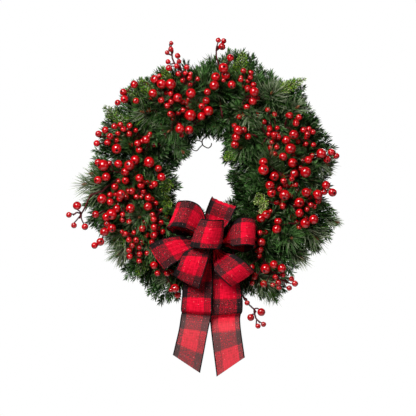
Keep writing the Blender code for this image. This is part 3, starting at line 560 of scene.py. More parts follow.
def make_bud_material():
    """Moulded bud with brushed-on rust paint: rough and mottled."""
    return mottled("rust_painted_bud", 1.4286, 2.0, [
        (0.35, linear("#4a2413")), (0.65, linear("#a86236")),
    ], Roughness=0.75)


def make_calyx_material():
    """Dried calyx, dabbed with black-brown paint: matt and nearly black."""
    return mottled("painted_calyx", 1.111, 2.0, [
        (0.40, linear("#0e0807")), (0.70, linear("#2b1512")),
    ], Roughness=0.7, Specular_IOR_Level=0.15)


def make_twig_material(settings):
    """Wire wrapped in burgundy crepe paper: matt, with darker turns of the paper."""
    return mottled("crepe_wrapped_twig", 2.381, 3.0, [
        (0.32, linear("#2a0a0e")), (0.68, tuple(settings.twig_colour)),
    ], bump=0.8, Roughness=0.62, Specular_IOR_Level=0.2)


def make_wire_material(name, dark, light):
    """Steel wire in baked enamel: smooth satin colour with faint dull spots."""
    return mottled(name, 5.556, 4.0, [(0.35, linear(dark)), (0.70, linear(light))],
                   Roughness=0.38, IOR=1.5)


def make_berry_material(settings):
    """Foam ball dipped in red lacquer: deep red, slightly mottled, under a wet gloss.

    The foam's own dimples are 11 mm apart, and the lacquer's mottling 1.9 mm.
    """
    material, tree, shader = new_material(
        "lacquered_foam_berry", Roughness=0.16, IOR=1.5, Specular_IOR_Level=1.0)
    coords = add_node(tree, "TexCoord").outputs["Object"]
    broad, fine = (
        add_node(tree, "TexNoise", {"Vector": coords, "Scale": per_metre(size), "Detail": 2.0})
        for size in (11.11, 1.923)
    )
    mottle = add_node(tree, "Math", [fine, 0.35, broad], operation="MULTIPLY_ADD")
    colour = add_node(tree, "ValToRGB", [mottle], [
        (0.50, tuple(settings.shade_colour)), (0.78, tuple(settings.colour)),
    ])
    dimples = add_node(tree, "Bump", {"Height": broad, "Strength": 0.3, "Distance": 0.0003})
    tree.links.new(colour.outputs[0], shader.inputs["Base Color"])
    tree.links.new(dimples.outputs[0], shader.inputs["Normal"])
    return material


def make_ribbon_material(settings, name="woven_check_ribbon", painted_light_from=None):
    """Buffalo check woven of black and red yarn, with glitter on its face.

    Across the ribbon lie a narrow black stripe, a broad red one and a stripe of mixed
    yarn between black wired edges; along it red and black bands follow each other.
    Red on red is bright, black on black charcoal, and red on black a salt-and-pepper
    mix.  The real yarns lie 0.5 mm apart.  They are drawn 1.9 mm apart, and their
    floats 1.2 mm, so that they show.
    """
    material, tree, shader = new_material(
        name, Roughness=0.85, Sheen_Weight=0.02, Sheen_Roughness=0.5, Specular_IOR_Level=0.05)
    add = partial(add_node, tree)
    coords = add("UVMap", uv_map="cloth")
    across, along = add("SeparateXYZ", [coords]).outputs[:2]
    # Yarns that run along the ribbon, and yarns that run across it.
    warp_yarn, weft_yarn = (
        add("TexNoise", {
            "Vector": add("Mapping", {"Vector": coords, "Scale": drawn_out}),
            "Scale": per_metre(1.923), "Detail": 1.0, "Roughness": 0.6,
        }) for drawn_out in ((1.0, 0.1, 1.0), (0.1, 1.0, 1.0))
    )
    relief = add("Math", [warp_yarn, weft_yarn], operation="ADD")
    wander = add("TexNoise", {
        "Vector": coords, "Scale": per_metre(1.4286), "Detail": 1.0, "Roughness": 0.6,
    })
    fray = add("Math", [wander, settings.fray, -settings.fray / 2], operation="MULTIPLY_ADD")
    across_fray = add("Math", [across, fray], operation="ADD")
    along_fray = add("Math", [along, fray], operation="ADD")
    # How red the yarns are each way: 1 is all red, 0 all black.
    width_share = add("Math", [across_fray, RIBBON_WIDTH], operation="DIVIDE")
    warp_red = add("ValToRGB", [width_share], [
        (0.0, grey(0.0)), (0.17, grey(0.04)), (0.19, grey(0.96)), (0.72, grey(1.0)),
        *((0.735 + line * 0.02, grey(0.9 - line % 2 * 0.8)) for line in range(11)),
        (0.96, grey(0.0)),
    ])
    pair = settings.check_length * 2
    in_pair = add("Math", [along_fray, pair], operation="FLOORED_MODULO")
    weft_red = add("ValToRGB", [add("Math", [in_pair, pair], operation="DIVIDE")], [
        (0.0, grey(0.97)), (0.48, grey(1.0)), (0.52, grey(0.85)), (0.56, grey(0.10)),
        (0.74, grey(0.0)), (0.76, grey(0.35)), (0.79, grey(0.0)), (0.97, grey(0.05)),
        (1.0, grey(0.97)),
    ])
    # Each spot shows its warp or its weft by turns, in slanting floats.
    slant = add("Mapping", {
        "Vector": coords, "Rotation": (0.0, 0.0, math.radians(40)), "Scale": (1.0, 0.5, 1.0),
    })
    floats = add("TexNoise", {
        "Vector": slant, "Scale": per_metre(1.1765), "Detail": 2.0, "Roughness": 0.6,
    })
    over = add("Math", [floats, 4.0, -1.5], operation="MULTIPLY_ADD", use_clamp=True)
    red = add("Mix", {0: over, 2: warp_red, 3: weft_red})
    uneven = add("Math", [relief, 0.34, -0.34], operation="MULTIPLY_ADD")
    checks = add("ValToRGB", [add("Math", [red, uneven], operation="ADD")], [
        (0.0, tuple(settings.black)), (0.20, linear("#3c2a2b")), (0.48, linear("#6c282d")),
        (0.75, linear("#b0142a")), (0.92, tuple(settings.red)), (1.0, linear("#f81438")),
    ])
    tint = add("MapRange", [relief, 0.55, 1.45, 0.74, 1.12])
    cloth = add("Mix", {0: 1.0, 6: checks, 7: tint}, data_type="RGBA", blend_type="MULTIPLY")
    if painted_light_from is not None:
        # Painted light: the hanging end is washed paler and greyer, as where more light falls on it,
        # in the pattern of the floats.
        painted_light = add("MapRange", [along, painted_light_from, painted_light_from + 0.02, 0.0, settings.painted_light])
        cloth = add("Mix", {
            0: add("Math", [painted_light, floats], operation="MULTIPLY"), 6: cloth.outputs[2],
            7: (*linear("#d8a8a4"), 1.0),
        }, data_type="RGBA")
    # The wired selvedge is closely woven in plain black.
    inside = add("Math", [across, RIBBON_WIDTH / 2, RIBBON_WIDTH / 2 - settings.selvedge],
                 operation="COMPARE")
    edged = add("Mix", {0: inside, 6: (*linear("#1b1718"), 1.0), 7: cloth.outputs[2]},
                data_type="RGBA")
    # Glitter flecks about 1.2 mm across, some 9 mm apart, painted pale: partly the glitter's
    # own silver, partly a painted glint.
    cells = add("TexVoronoi", {"Vector": coords, "Scale": 1 / settings.glitter_spacing},
                voronoi_dimensions="2D")
    fleck = add("Math", [cells, 0.07], operation="LESS_THAN")
    chosen = add("Math", [add("SeparateXYZ", [cells.outputs["Color"]]), 0.62],
                 operation="GREATER_THAN")
    glint = add("Math", [add("Math", [fleck, chosen], operation="MULTIPLY"), 0.5],
                operation="MULTIPLY")
    glittered = add("Mix", {0: glint, 6: edged.outputs[2], 7: (*linear("#f2b9b6"), 1.0)},
                    data_type="RGBA")
    bump = add("Bump", {"Height": relief, "Strength": 0.5, "Distance": 0.0004})
    tree.links.new(glittered.outputs[2], shader.inputs["Base Color"])
    tree.links.new(bump.outputs[0], shader.inputs["Normal"])
    return material


def shared_material(name, maker, *values):
    """The material of that name, made the first time that it is asked for."""
    return bpy.data.materials.get(name) or maker(*values)


# ---------------------------------------------------------------- shapes


def unit(vectors):
    """The vectors at length one."""
    return vectors / np.maximum(np.linalg.norm(vectors, axis=-1, keepdims=True), 1e-9)


def distance_along(points):
    """How far each point lies along the line that joins them."""
    return np.concatenate([[0], np.cumsum(np.linalg.norm(np.diff(points, axis=0), axis=1))])


def curve_points(points, count=None, spacing=None):
    """Evenly spaced rows of the smooth curve through a short list of points.

    Their number, or else the spacing, is given.  A row may carry more values after
    the point's own three.
    """
    rows = np.asarray(points, float)
    ends = np.vstack([2 * rows[0] - rows[1], rows, 2 * rows[-1] - rows[-2]])
    shares = np.linspace(0, len(rows) - 1, count * 4 if count else 40 * (len(rows) - 1) + 1)
    index = np.minimum(shares.astype(int), len(rows) - 2)
    share = (shares - index)[:, None]
    before, first, second, after = (ends[index + step] for step in range(4))
    fine = 0.5 * (
        2 * first + (second - before) * share
        + (2 * before - 5 * first + 4 * second - after) * share ** 2
        + (3 * first - before - 3 * second + after) * share ** 3
    )
    run = distance_along(fine[:, :3])
    even = np.linspace(0, run[-1], count or max(8, int(run[-1] / spacing)))
    return np.stack([np.interp(even, run, column) for column in fine.T], axis=1)


def cross_axes(direction):
    """Two unit vectors square to each direction and to each other."""
    helper = np.where(np.abs(direction[..., 2:3]) > 0.8, [1.0, 0.0, 0.0], [0.0, 0.0, 1.0])
    side = unit(np.cross(direction, helper))
    return side, np.cross(direction, side)


def brush(rng, line, density, length, lean, tone, flat=0.0, start=0.0, width=0.0024, droop=0.0,
          segments=1, spread=0.20):
    """Needles set in a spiral round a stem, as a dict of one row a needle.

    density is in needles a millimetre of stem and length in millimetres.  lean is the
    needles' angle off the stem at its foot and at its end, in degrees.  flat presses
    the brush towards the wreath's face.  Neighbouring needles differ in tone by spread,
    and one in seven of the dark ones is painted pale, a painted glint like a strip that catches the
    light.
    """
    line = np.asarray(line, float)
    run = distance_along(line)[-1] * (1 - start) / MM
    count = max(8, int(density * run))
    share = start + (1 - start) * ((np.arange(count) + 0.5) / count) ** 0.92
    share = np.clip(share + rng.normal(0, 0.008, count), start, 1)
    spot = share * (len(line) - 1)
    index = np.minimum(spot.astype(int), len(line) - 2)
    part = (spot - index)[:, None]
    roots = line[index] * (1 - part) + line[index + 1] * part
    heading = unit(line[index + 1] - line[index])
    side, other = cross_axes(heading)
    turn = np.arange(count) * GOLDEN_TURN + rng.normal(0, 0.25, count)
    outward = side * np.cos(turn)[:, None] + other * np.sin(turn)[:, None]
    outward[:, 1] *= 1 - flat
    outward = unit(outward)
    angle = lean[0] + (lean[1] - lean[0]) * share + rng.normal(0, 6, count)
    crown = share > 0.93
    angle[crown] = rng.uniform(0, lean[1] + 22, crown.sum())
    angle = np.radians(np.clip(angle, 2, 95))[:, None]
    ways = unit(heading * np.cos(angle) + outward * np.sin(angle))
    lengths = length * MM * (1.08 - 0.34 * share) * rng.uniform(0.78, 1.12, count)
    bends = heading * 0.16 + rng.normal(0, 0.07 / segments, (count, 3)) + [0, 0, -droop]
    tones = np.clip(tone + rng.normal(0, spread, count), 0.01, 0.99)
    if tone < 0.6:
        tones = np.minimum(tones, 0.6)
        # Painted glints: one needle in seven is coloured pale, as if it caught the light.
        tones[rng.uniform(0, 1, count) < 0.14] = 0.78
    return dict(
        roots=roots, ways=ways, lengths=lengths, bends=bends * lengths[:, None],
        widths=width * rng.uniform(0.8, 1.15, count), twists=rng.uniform(0, math.pi, count),
        tones=tones, segments=segments,
    )


def needle_arrays(needles):
    """Vertices, triangles and map of a batch of needles, each one a closed sliver.

    A short needle is a flat diamond of four faces, as cut from sheet; a long one has a
    round section and bends twice.
    """
    count = len(needles["roots"])
    roots, ways, lengths = needles["roots"], needles["ways"], needles["lengths"][:, None]
    bends, half, turn = needles["bends"], needles["widths"][:, None] / 2, needles["twists"][:, None]
    first, second = cross_axes(ways)
    side = first * np.cos(turn) + second * np.sin(turn)
    other = second * np.cos(turn) - first * np.sin(turn)
    columns, shares, offsets = [roots], [0.0], [0.0]
    if needles["segments"] == 1:
        middle = roots + ways * lengths * 0.66 + bends * 0.44
        columns += [middle + (side * sign + other * 0.5) * half for sign in (-1, 1)]
        shares += [0.66, 0.66]
        offsets += [-0.004, 0.004]
        tris = [(0, 2, 1), (0, 1, 3), (0, 3, 2), (1, 2, 3)]
    else:
        for share in (0.30, 0.68):
            middle = roots + ways * lengths * share + bends * share ** 2
            for corner in (0, math.tau / 3, 2 * math.tau / 3):
                way = side * math.cos(corner) + other * math.sin(corner) * 0.6
                columns.append(middle + way * half)
                shares.append(share)
            offsets += [-0.004, 0.0, 0.004]
        tris = [(0, 2, 1), (0, 3, 2), (0, 1, 3), (4, 5, 7), (5, 6, 7), (6, 4, 7)]
        for near, far in ((1, 2), (2, 3), (3, 1)):
            tris += [(near, far, far + 3), (near, far + 3, near + 3)]
    columns.append(roots + ways * lengths + bends)
    shares.append(1.0)
    offsets.append(0.0)
    verts = np.stack(columns, axis=1)
    size = verts.shape[1]
    faces = (np.array(tris)[None] + (np.arange(count) * size)[:, None, None]).reshape(-1, 3)
    map_u = np.broadcast_to(np.array(shares) * 0.96 + 0.02, (count, size))
    map_v = needles["tones"][:, None] + np.array(offsets)
    return verts.reshape(-1, 3), faces, np.stack([map_u, map_v], axis=2).reshape(-1, 2)


def mesh_from_arrays(name, verts, faces, smooth=True):
    """A mesh of triangles from arrays."""
    mesh = bpy.data.meshes.new(name)
    mesh.vertices.add(len(verts))
    mesh.vertices.foreach_set("co", np.asarray(verts, np.float32).ravel())
    mesh.loops.add(len(faces) * 3)
    mesh.loops.foreach_set("vertex_index", np.asarray(faces, np.int32).ravel())
    mesh.polygons.add(len(faces))
    mesh.polygons.foreach_set("loop_start", np.arange(0, len(faces) * 3, 3, dtype=np.int32))
    mesh.update(calc_edges=True)
    mesh.polygons.foreach_set("use_smooth", np.full(len(faces), smooth))
    return mesh


def make_piece(name, mesh, slot, *materials, node=None):
    """Add a mesh as a piece that rides with the wreath, in the place of a solid if named."""
    for material in materials:
        mesh.materials.append(material)
    piece = bpy.data.objects.new(name, mesh)
    bpy.context.scene.collection.objects.link(piece)
    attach(piece, "root")
    if node:
        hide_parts(node)
    return piece


def make_needles(name, bundles, material, node=None):
    """One piece of all the needles in a list of batches, with its map.

    It takes the place of a solid if that is named.
    """
    verts, faces, places = [], [], []
    base = 0
    for bundle in bundles:
        v, f, m = needle_arrays(bundle)
        verts.append(v)
        faces.append(f + base)
        places.append(m)
        base += len(v)
    verts, faces, places = np.concatenate(verts), np.concatenate(faces), np.concatenate(places)
    mesh = mesh_from_arrays(name, verts, faces, smooth=False)
    layer = mesh.uv_layers.new(name=BAKE_MAP)
    layer.data.foreach_set("uv", places[faces.ravel()].astype(np.float32).ravel())
    make_piece(name, mesh, "pine_needles", material, node=node)


def tapered(line, first, last):
    """A line with its radii, which change evenly from first to last."""
    return line, np.linspace(first, last, len(line))


def close_up(mesh, weld=0.0):
    """Weld points that lie within weld of each other, and turn the faces outward."""
    work = bmesh.new()
    work.from_mesh(mesh)
    if weld:
        bmesh.ops.remove_doubles(work, verts=work.verts, dist=weld)
    bmesh.ops.recalc_face_normals(work, faces=work.faces)
    work.to_mesh(mesh)
    work.free()
    mesh.shade_smooth()


def tubes_mesh(name, lines, roundness=1):
    """A mesh of round tubes along lines, each a list of points and its radii."""
    curve = bpy.data.curves.new(name, "CURVE")
    curve.dimensions = "3D"
    curve.bevel_depth = 1.0
    curve.bevel_resolution = roundness
    curve.use_fill_caps = True
    for points, radii in lines:
        spline = curve.splines.new("POLY")
        spline.points.add(len(points) - 1)
        for slot, co, radius in zip(spline.points, points, radii):
            slot.co = (*co, 1.0)
            slot.radius = radius
    holder = bpy.data.objects.new(name, curve)
    bpy.context.scene.collection.objects.link(holder)
    bpy.context.view_layer.update()
    mesh = bpy.data.meshes.new_from_object(
        holder.evaluated_get(bpy.context.evaluated_depsgraph_get()))
    bpy.data.objects.remove(holder, do_unlink=True)
    bpy.data.curves.remove(curve)
    close_up(mesh, 0.000002)
    mesh.name = name
    return mesh


def make_tubes(name, lines, slot, material, roundness=1, node=None):
    """One piece of round tubes along lines."""
    make_piece(name, tubes_mesh(name, lines, roundness), slot, material, node=node)


def binding(angle, radius):
    """The turns of wire that bind a foot at this place to its ring, with their radii."""
    half_length, turn_radius, wire_radius, half_spin = 0.006, 0.0034, 0.0011, 16
    turn = math.radians(angle)
    along = np.array([-math.sin(turn), 0.0, math.cos(turn)])
    outward = np.array([math.cos(turn), 0.0, math.sin(turn)])
    front = np.array([0.0, 1.0, 0.0])
    coil = np.stack([
        around(angle, radius) + along * t * half_length
        + turn_radius * (outward * math.cos(t * half_spin) + front * math.sin(t * half_spin))
        for t in np.linspace(-1, 1, 40)
    ])
    return tapered(coil, wire_radius, wire_radius)


# ---------------------------------------------------------------- greenery


def bowed(foot, end, sway, count=9):
    """A gently bowed stem from foot to end; sway moves its middle, in metres."""
    middle = (np.asarray(foot) + np.asarray(end)) / 2 + sway
    return curve_points([foot, middle, end], count)


def doubled(tips, change):
    """The tips, and one between every two, its reach changed by so many millimetres."""
    return (*tips, *(
        ((angle + following[0]) / 2, (reach + following[1]) / 2 + change)
        for (angle, reach), following in zip(tips, tips[1:])
    ))


def rim_tips(rng, settings):
    """(angle, stem, needles) of each tip of the wreath's edge, at four depths."""
    made = []
    for index, (angle, reach) in enumerate(doubled(RIM_TIPS, -3)):
        forward = (2, 20, 10, 28)[index % 4]
        foot = around(angle + rng.uniform(-7, 7), OUTER_RING + 1, 6)
        end = around(angle, reach - settings.needle_length * 360, forward)
        line = bowed(foot, end, rng.normal(0, 0.004, 3))
        made.append((angle, line, brush(
            rng, line, settings.density * 1.4, settings.needle_length / MM * 0.66, (60, 46),
            rng.uniform(0.20, 0.55), start=0.1,
        )))
    return made


def row_tips(rng, settings, rows):
    """(angle, stem, needles) of tips that rise towards the front from the rings."""
    made = []
    for count, first, span, foot_radius, end_radius, foot_forward, end_forward, lean in rows:
        for index in range(count):
            angle = first + (index + rng.uniform(-0.3, 0.3)) * span / count
            foot = around(angle + rng.uniform(-6, 6), foot_radius, foot_forward)
            under_bow = UNDER_BOW[0] < angle % 360 < UNDER_BOW[1]
            end = around(
                angle + lean + rng.uniform(-8, 8), end_radius + rng.uniform(-12, 12),
                min(end_forward, 22 if under_bow else 90) + rng.uniform(-6, 6),
            )
            line = bowed(foot, end, rng.normal(0, 0.005, 3))
            # Painted shade: tips whose ends lie further back get darker tones, as deeper in the
            # wreath.
            front = min(max(end_forward / 45, 0.0), 1.0)       # the rear tips are darker
            made.append((angle, line, brush(
                rng, line, settings.density, settings.needle_length / MM, (58, 32),
                rng.uniform(0.02 + front * 0.08, 0.14 + front * 0.44), start=0.1,
            )))
    return made


def hole_tips(rng, settings):
    """(angle, stem, needles) of the tips that reach to the hole's edge."""
    made = []
    for index, (angle, reach) in enumerate(doubled(HOLE_TIPS, 8)):
        turn = math.radians(angle)
        towards = np.array([math.cos(turn), math.sin(turn)])
        edge = np.array(HOLE_CENTRE) + towards * (reach + settings.needle_length * 350)
        end = place(*edge, (6, 26, 14)[index % 3])
        ring_angle = math.degrees(math.atan2(edge[1], edge[0])) + rng.uniform(-8, 8)
        line = bowed(around(ring_angle, INNER_RING, 6), end, rng.normal(0, 0.003, 3))
        made.append((ring_angle % 360, line, brush(
            rng, line, settings.density, settings.needle_length / MM * 0.7, (58, 30),
            rng.uniform(0.05, 0.35), start=0.05,
        )))
    return made


def fir_tip(rng, foot, end, width, tone):
    """Stems and needles of a flat moulded tip: short broad needles on side twigs."""
    foot, end = place(*foot), place(*end)
    spine = bowed(foot, end, rng.normal(0, 0.002, 3))
    lines = [spine]
    heading = unit(end - foot)
    side = unit(np.cross(heading, [0, -1, 0]))
    count = int(np.linalg.norm(end - foot) / FIR_TWIG_SPACING)
    for share in (0.1 + 0.8 * index / (count - 1) for index in range(count)):
        base = curve_points(spine, 40)[int(share * 39)]
        reach = width * MM * 0.62 * (1.15 - share)
        for sign in (-1, 1):
            way = unit(heading * 1.1 + side * sign * rng.uniform(0.8, 1.1) + rng.normal(0, 0.1, 3))
            lines.append(np.array([base, base + way * reach]))
    needles = [
        brush(rng, line, 1.6, 5.5, (58, 30), tone, flat=0.5, width=0.0017, spread=0.07)
        for line in lines
    ]
    return lines, needles


def ring_foot(foot, rise):
    """Points from the nearer ring wire up to a sprig's foot, the second so far forward."""
    radius = INNER_RING if math.hypot(foot[0], foot[1]) < INNER_FEET else OUTER_RING
    angle = math.degrees(math.atan2(foot[1], foot[0]))
    return [around(angle, radius), around(angle, radius, foot[2] * rise), place(*foot)]


def build_rank(name, rank, tips, settings):
    """Needles of one rank's branches, each in the place of its solid, and their stems."""
    count, start = rank
    shares = [[] for branch in range(count)]
    for angle, line, needles in tips:
        shares[int(round((angle - start) / (360 / count))) % count].append(needles)
    material = shared_material("cut_pvc_needles", make_needle_material, settings)
    for index, bundles in enumerate(shares):
        node = f"{name}_branch_{index + 1:02d}"
        make_needles(f"{node}_needles", bundles, material, node)
    stems = [tapered(line, *TIP_STEM) for angle, line, needles in tips]
    make_tubes(f"{name}_stems", stems, "brown_twig",
               shared_material("taped_stem_wire", make_stem_material), 0)


# ---------------------------------------------------------------- berries


def ball_template():
    """Vertices and triangles of a unit berry, dimpled at its calyx, which faces +Z."""
    work = bmesh.new()
    bmesh.ops.create_uvsphere(work, u_segments=16, v_segments=10, radius=1.0)
    bmesh.ops.triangulate(work, faces=work.faces)
    work.verts.ensure_lookup_table()
    verts = np.array([vert.co[:] for vert in work.verts])
    faces = np.array([[vert.index for vert in face.verts] for face in work.faces])
    work.free()
    rim = np.hypot(verts[:, 0], verts[:, 1])
    verts[:, 2] -= np.where(verts[:, 2] > 0, 0.16 * np.exp(-(rim / 0.22) ** 2), 0)
    verts[:, 2] *= 0.97
    return verts, faces


def calyx_template():
    """Vertices and triangles of the dry crown of a unit berry: a cup of five sepals."""
    points = 10
    turn = np.arange(points) * math.tau / points
    sepal = np.arange(points) % 2 == 0
    reach = np.where(sepal, 0.34, 0.17)
    outline = np.stack([
        np.cos(turn) * reach, np.sin(turn) * reach, np.where(sepal, 1.03, 0.92),
    ], axis=1)
    under = outline * [0.9, 0.9, 1.0] - [0, 0, 0.09]
    verts = np.vstack([outline, under, [[0, 0, 0.87], [0, 0, 0.74]]])
    faces = []
    for index in range(points):
        after = (index + 1) % points
        faces += [
            (index, after, 2 * points), (points + after, points + index, 2 * points + 1),
            (after, index, points + index), (after, points + index, points + after),
        ]
    return verts, np.array(faces)


def turned(verts, axis, spin):
    """Unit-shape vertices turned so that their +Z points along axis."""
    side, other = cross_axes(axis)
    first = side * math.cos(spin) + other * math.sin(spin)
    return verts @ np.stack([first, np.cross(axis, first), axis])


def nearest_on_stems(stems, berry, lean):
    """Point of the stems nearest to a berry, moved a little towards their foot."""
    best = None
    for line in stems:
        for first, second in zip(line, line[1:]):
            run = second - first
            size = float(run @ run)
            share = float(np.clip((berry - first) @ run / size, 0, 1))
            gap = np.linalg.norm(first + run * share - berry)
            if best is None or gap < best[0]:
                best = (gap, first + run * max(0.0, share - lean / math.sqrt(size)))
    return best[1]


def make_spray(name, spray, settings, rng, ball, calyx, materials):
    """One berry spray: bound foot, wrapped stems and twigs, and its lacquered berries."""
    radius = OUTER_RING if spray.get("ring") == "outer" else INNER_RING
    angle = spray["angle"]
    shaded = spray.get("shaded", True)
    # A stem over the greenery sinks among the needles; one in the open does not.
    deepest, stout = (47, 1.0) if shaded else (90, 1.25)
    stems = [
        np.array([place(right, up, min(forward, deepest)) for right, up, forward in line])
        for line in spray["stems"]
    ]
    lines = []
    for index, line in enumerate(stems):
        whole, thick = line, settings.stem_radius * 0.85 * stout
        if index == 0:
            foot = [around(angle, radius), around(angle, radius, spray.get("rise", 46))]
            whole, thick = np.vstack([foot, line]), settings.stem_radius * stout
        path = curve_points(whole, 4 * len(whole))
        path[1:-1] += rng.normal(0, 0.0004, (len(path) - 2, 3))
        lines.append(tapered(path, thick, thick * 0.7))
    lines.append(binding(angle, radius))
    # Small berries sit low on the twigs too, in the shade of the larger ones.
    low = [
        (*(np.array(berry[:2]) * 0.93 + rng.normal(0, 9, 2)), rng.uniform(42, 56),
         rng.uniform(5, 7))
        for berry in spray["berries"] * 2
        if shaded and 150 < math.hypot(*berry[:2]) < 245 and rng.uniform() < 0.5
    ]
    balls, crowns = [], []
    for right, up, forward, size in (*spray["berries"], *low):
        centre = place(right, up, forward)
        start = nearest_on_stems(stems, centre, 0.012)
        axis = unit(unit(centre - start) * 0.9 + rng.normal(0, 0.75, 3))
        size = size * MM
        base = centre - axis * size * 0.9
        bend = (start + base) / 2 + rng.normal(0, 0.0016, 3)
        thick = settings.twig_radius * stout
        lines.append(tapered(curve_points([start, bend, base], 7), thick, thick * 0.8))
        shape = [1.0, 1.0, rng.uniform(0.95, 1.04)]
        balls.append(turned(ball[0] * shape, axis, 0.0) * size + centre)
        crown = size ** 0.75 * 0.01 ** 0.25
        tip = centre + axis * (size * shape[2] - crown)
        crowns.append(turned(calyx[0], axis, rng.uniform(0, 6)) * crown + tip)
    faces, base = [], 0
    for copies, template in ((balls, ball), (crowns, calyx)):
        for copy in copies:
            faces.append(template[1] + base)
            base += len(copy)
    faces = np.concatenate(faces)
    mesh = mesh_from_arrays(name, np.concatenate(balls + crowns), faces)
    twigs = tubes_mesh(name + "_twigs", lines)
    work = bmesh.new()
    work.from_mesh(mesh)
    work.from_mesh(twigs)
    for index, face in enumerate(work.faces):
        face.material_index = (index >= len(balls) * len(ball[1])) + (index >= len(faces))
        face.smooth = True
    work.to_mesh(mesh)
    work.free()
    bpy.data.meshes.remove(twigs)
    make_piece(name + "_berries", mesh, "berry_red", *materials, node=name)


# ---------------------------------------------------------------- ribbon


def make_ribbon(name, stations, lay, settings, rng, material):
    """One loop or tail: a closed band of ribbon with pleats where it is gathered."""
    phase, stretch, flip, cup = lay
    path = curve_points([
        (*place(*middle), *(np.array([half[0], -half[2], half[1]]) * MM))
        for middle, half in stations
    ], spacing=settings.row_spacing)
    middles, halves = path[:, :3], path[:, 3:]
    run = distance_along(middles)
    half_size = np.linalg.norm(halves, axis=1)
    normals = unit(np.cross(unit(np.gradient(middles, axis=0)), unit(halves)))
    shares, thick = np.array(ACROSS).T
    thick = thick * settings.bead_radius
    # Cloth that is narrower than the ribbon stands up in pleats.
    pleat = RIBBON_WIDTH / settings.pleats / 2
    chord = half_size / settings.pleats
    rise = np.sqrt(np.maximum(pleat ** 2 - chord ** 2, 0)) * settings.pleat_share
    waves = np.cos(shares * math.pi * settings.pleats)
    ripple = np.sin(run / RIBBON_WIDTH * 5.3 + rng.uniform(0, 6)) * settings.ripple
    lift = rise[:, None] * waves * 0.5
    lift += cup * MM * (1 - shares ** 2) * (half_size / (RIBBON_WIDTH / 2))[:, None]
    lift += ripple[:, None] * shares * np.minimum(half_size / 0.03, 1)[:, None]
    cloth = middles[:, None] + halves[:, None] * shares[:, None]
    cloth += normals[:, None] * lift[..., None]
    front = cloth + normals[:, None] * thick[:, None]
    back = cloth - normals[:, None] * thick[:, None]
    section = np.concatenate([front, back[:, ::-1]], axis=1)
    rows, columns = section.shape[:2]
    faces = [
        (first, first + columns, second + columns, second)
        for row in range(0, (rows - 1) * columns, columns)
        for first, second in ((row + c, row + (c + 1) % columns) for c in range(columns))
    ]
    faces.append(tuple(range(columns)))
    faces.append(tuple(reversed(range((rows - 1) * columns, rows * columns))))
    mesh = bpy.data.meshes.new(name)
    mesh.from_pydata(section.reshape(-1, 3).tolist(), [], faces)
    # The map is in metres of cloth: across the ribbon, and along it.
    width_place = (shares * flip + 1) / 2 * RIBBON_WIDTH
    places = np.empty((rows, columns, 2))
    places[..., 0] = np.concatenate([width_place, width_place[::-1]])
    places[..., 1] = ((run + phase * MM) / stretch)[:, None]
    layer = mesh.uv_layers.new(name="cloth")
    index = np.empty(len(mesh.loops), np.int32)
    mesh.loops.foreach_get("vertex_index", index)
    layer.data.foreach_set("uv", places.reshape(-1, 2)[index].astype(np.float32).ravel())
    close_up(mesh)
    mesh.set_sharp_from_angle(angle=math.radians(60))
    piece = make_piece(name + "_ribbon", mesh, "plaid_ribbon", material, node=name)


# ---------------------------------------------------------------- settings


def length_value(name, description, default):
    """A length that a user may change, in metres."""
    return FloatProperty(name=name, description=description, default=default,
                         unit="LENGTH", subtype="DISTANCE", precision=4)


def colour_value(name, description, default):
    """A colour that a user may change, given as sRGB hex."""
    return FloatVectorProperty(name=name, description=description, default=linear(default),
                               subtype="COLOR")


def power_value(name, description, default):
    """A lamp's power that a user may change, in watts."""
    return FloatProperty(name=name, description=description, default=default, unit="POWER")


class PineSettings(bpy.types.PropertyGroup):
    """Sizes and colours of the greenery."""
    needle_length: length_value("Needle length", "Length of the short needles", 0.027)
    density: FloatProperty(
        name="Needle density", description="Short needles on each millimetre of stem",
        default=2.1)
    long_density: FloatProperty(
        name="Long needle density", description="Long needles on each millimetre of stem",
        default=3.4)
    dark: colour_value("Dark green", "Colour of the darkest needles", "#050e04")
    middle: colour_value("Middle green", "Colour of most needles", "#284b1e")
    light: colour_value("Light green", "Colour of the lightest short needles", "#5f8c4a")


class BerrySettings(bpy.types.PropertyGroup):
    """Sizes and colours of the berry sprays."""
    stem_radius: length_value("Stem radius", "Radius of a spray's wrapped stem", 0.0020)
    twig_radius: length_value("Twig radius", "Radius of the twig that carries a berry", 0.0014)
    colour: colour_value("Berry red", "Colour of the lacquer", "#d80412")
    shade_colour: colour_value("Berry shade", "Colour of the lacquer's deeper patches", "#a4020c")
    twig_colour: colour_value("Twig burgundy", "Colour of the twigs' crepe paper", "#6a1620")


class RibbonSettings(bpy.types.PropertyGroup):
    """Sizes and colours of the bow's ribbon."""
    row_spacing: length_value("Row spacing", "From one row of faces to the next", 0.0025)
    bead_radius: length_value("Wired edge radius", "Radius of the bead round the wire", 0.0009)
    selvedge: length_value("Selvedge", "Width of the black wired edge", 0.0024)
    pleats: IntProperty(
        name="Pleats", description="Half pleats across the gathered ribbon", default=5)
    pleat_share: FloatProperty(
        name="Pleat height", description="How far the pleats stand up", default=0.6,
        subtype="FACTOR")
    ripple: length_value("Ripple", "How far the edges sway along the ribbon", 0.0012)
    check_length: length_value("Check length", "Length of one check along the ribbon", 0.036)
    fray: length_value("Check edge fray", "How far yarns wander across a check's edge", 0.003)
    glitter_spacing: length_value("Glitter spacing", "Distance between glitter flecks", 0.009)
    # Painted light: how far the tails' hanging ends are washed paler, as where more light falls on
    # them.
    painted_light: FloatProperty(
        name="Painted light", description="How far glitter powder greys the tails' ends",
        default=0.26, subtype="FACTOR")
    black: colour_value("Ribbon black", "Colour of the black checks", "#221c1d")
    red: colour_value("Ribbon red", "Colour of the red checks", "#e60a2a")


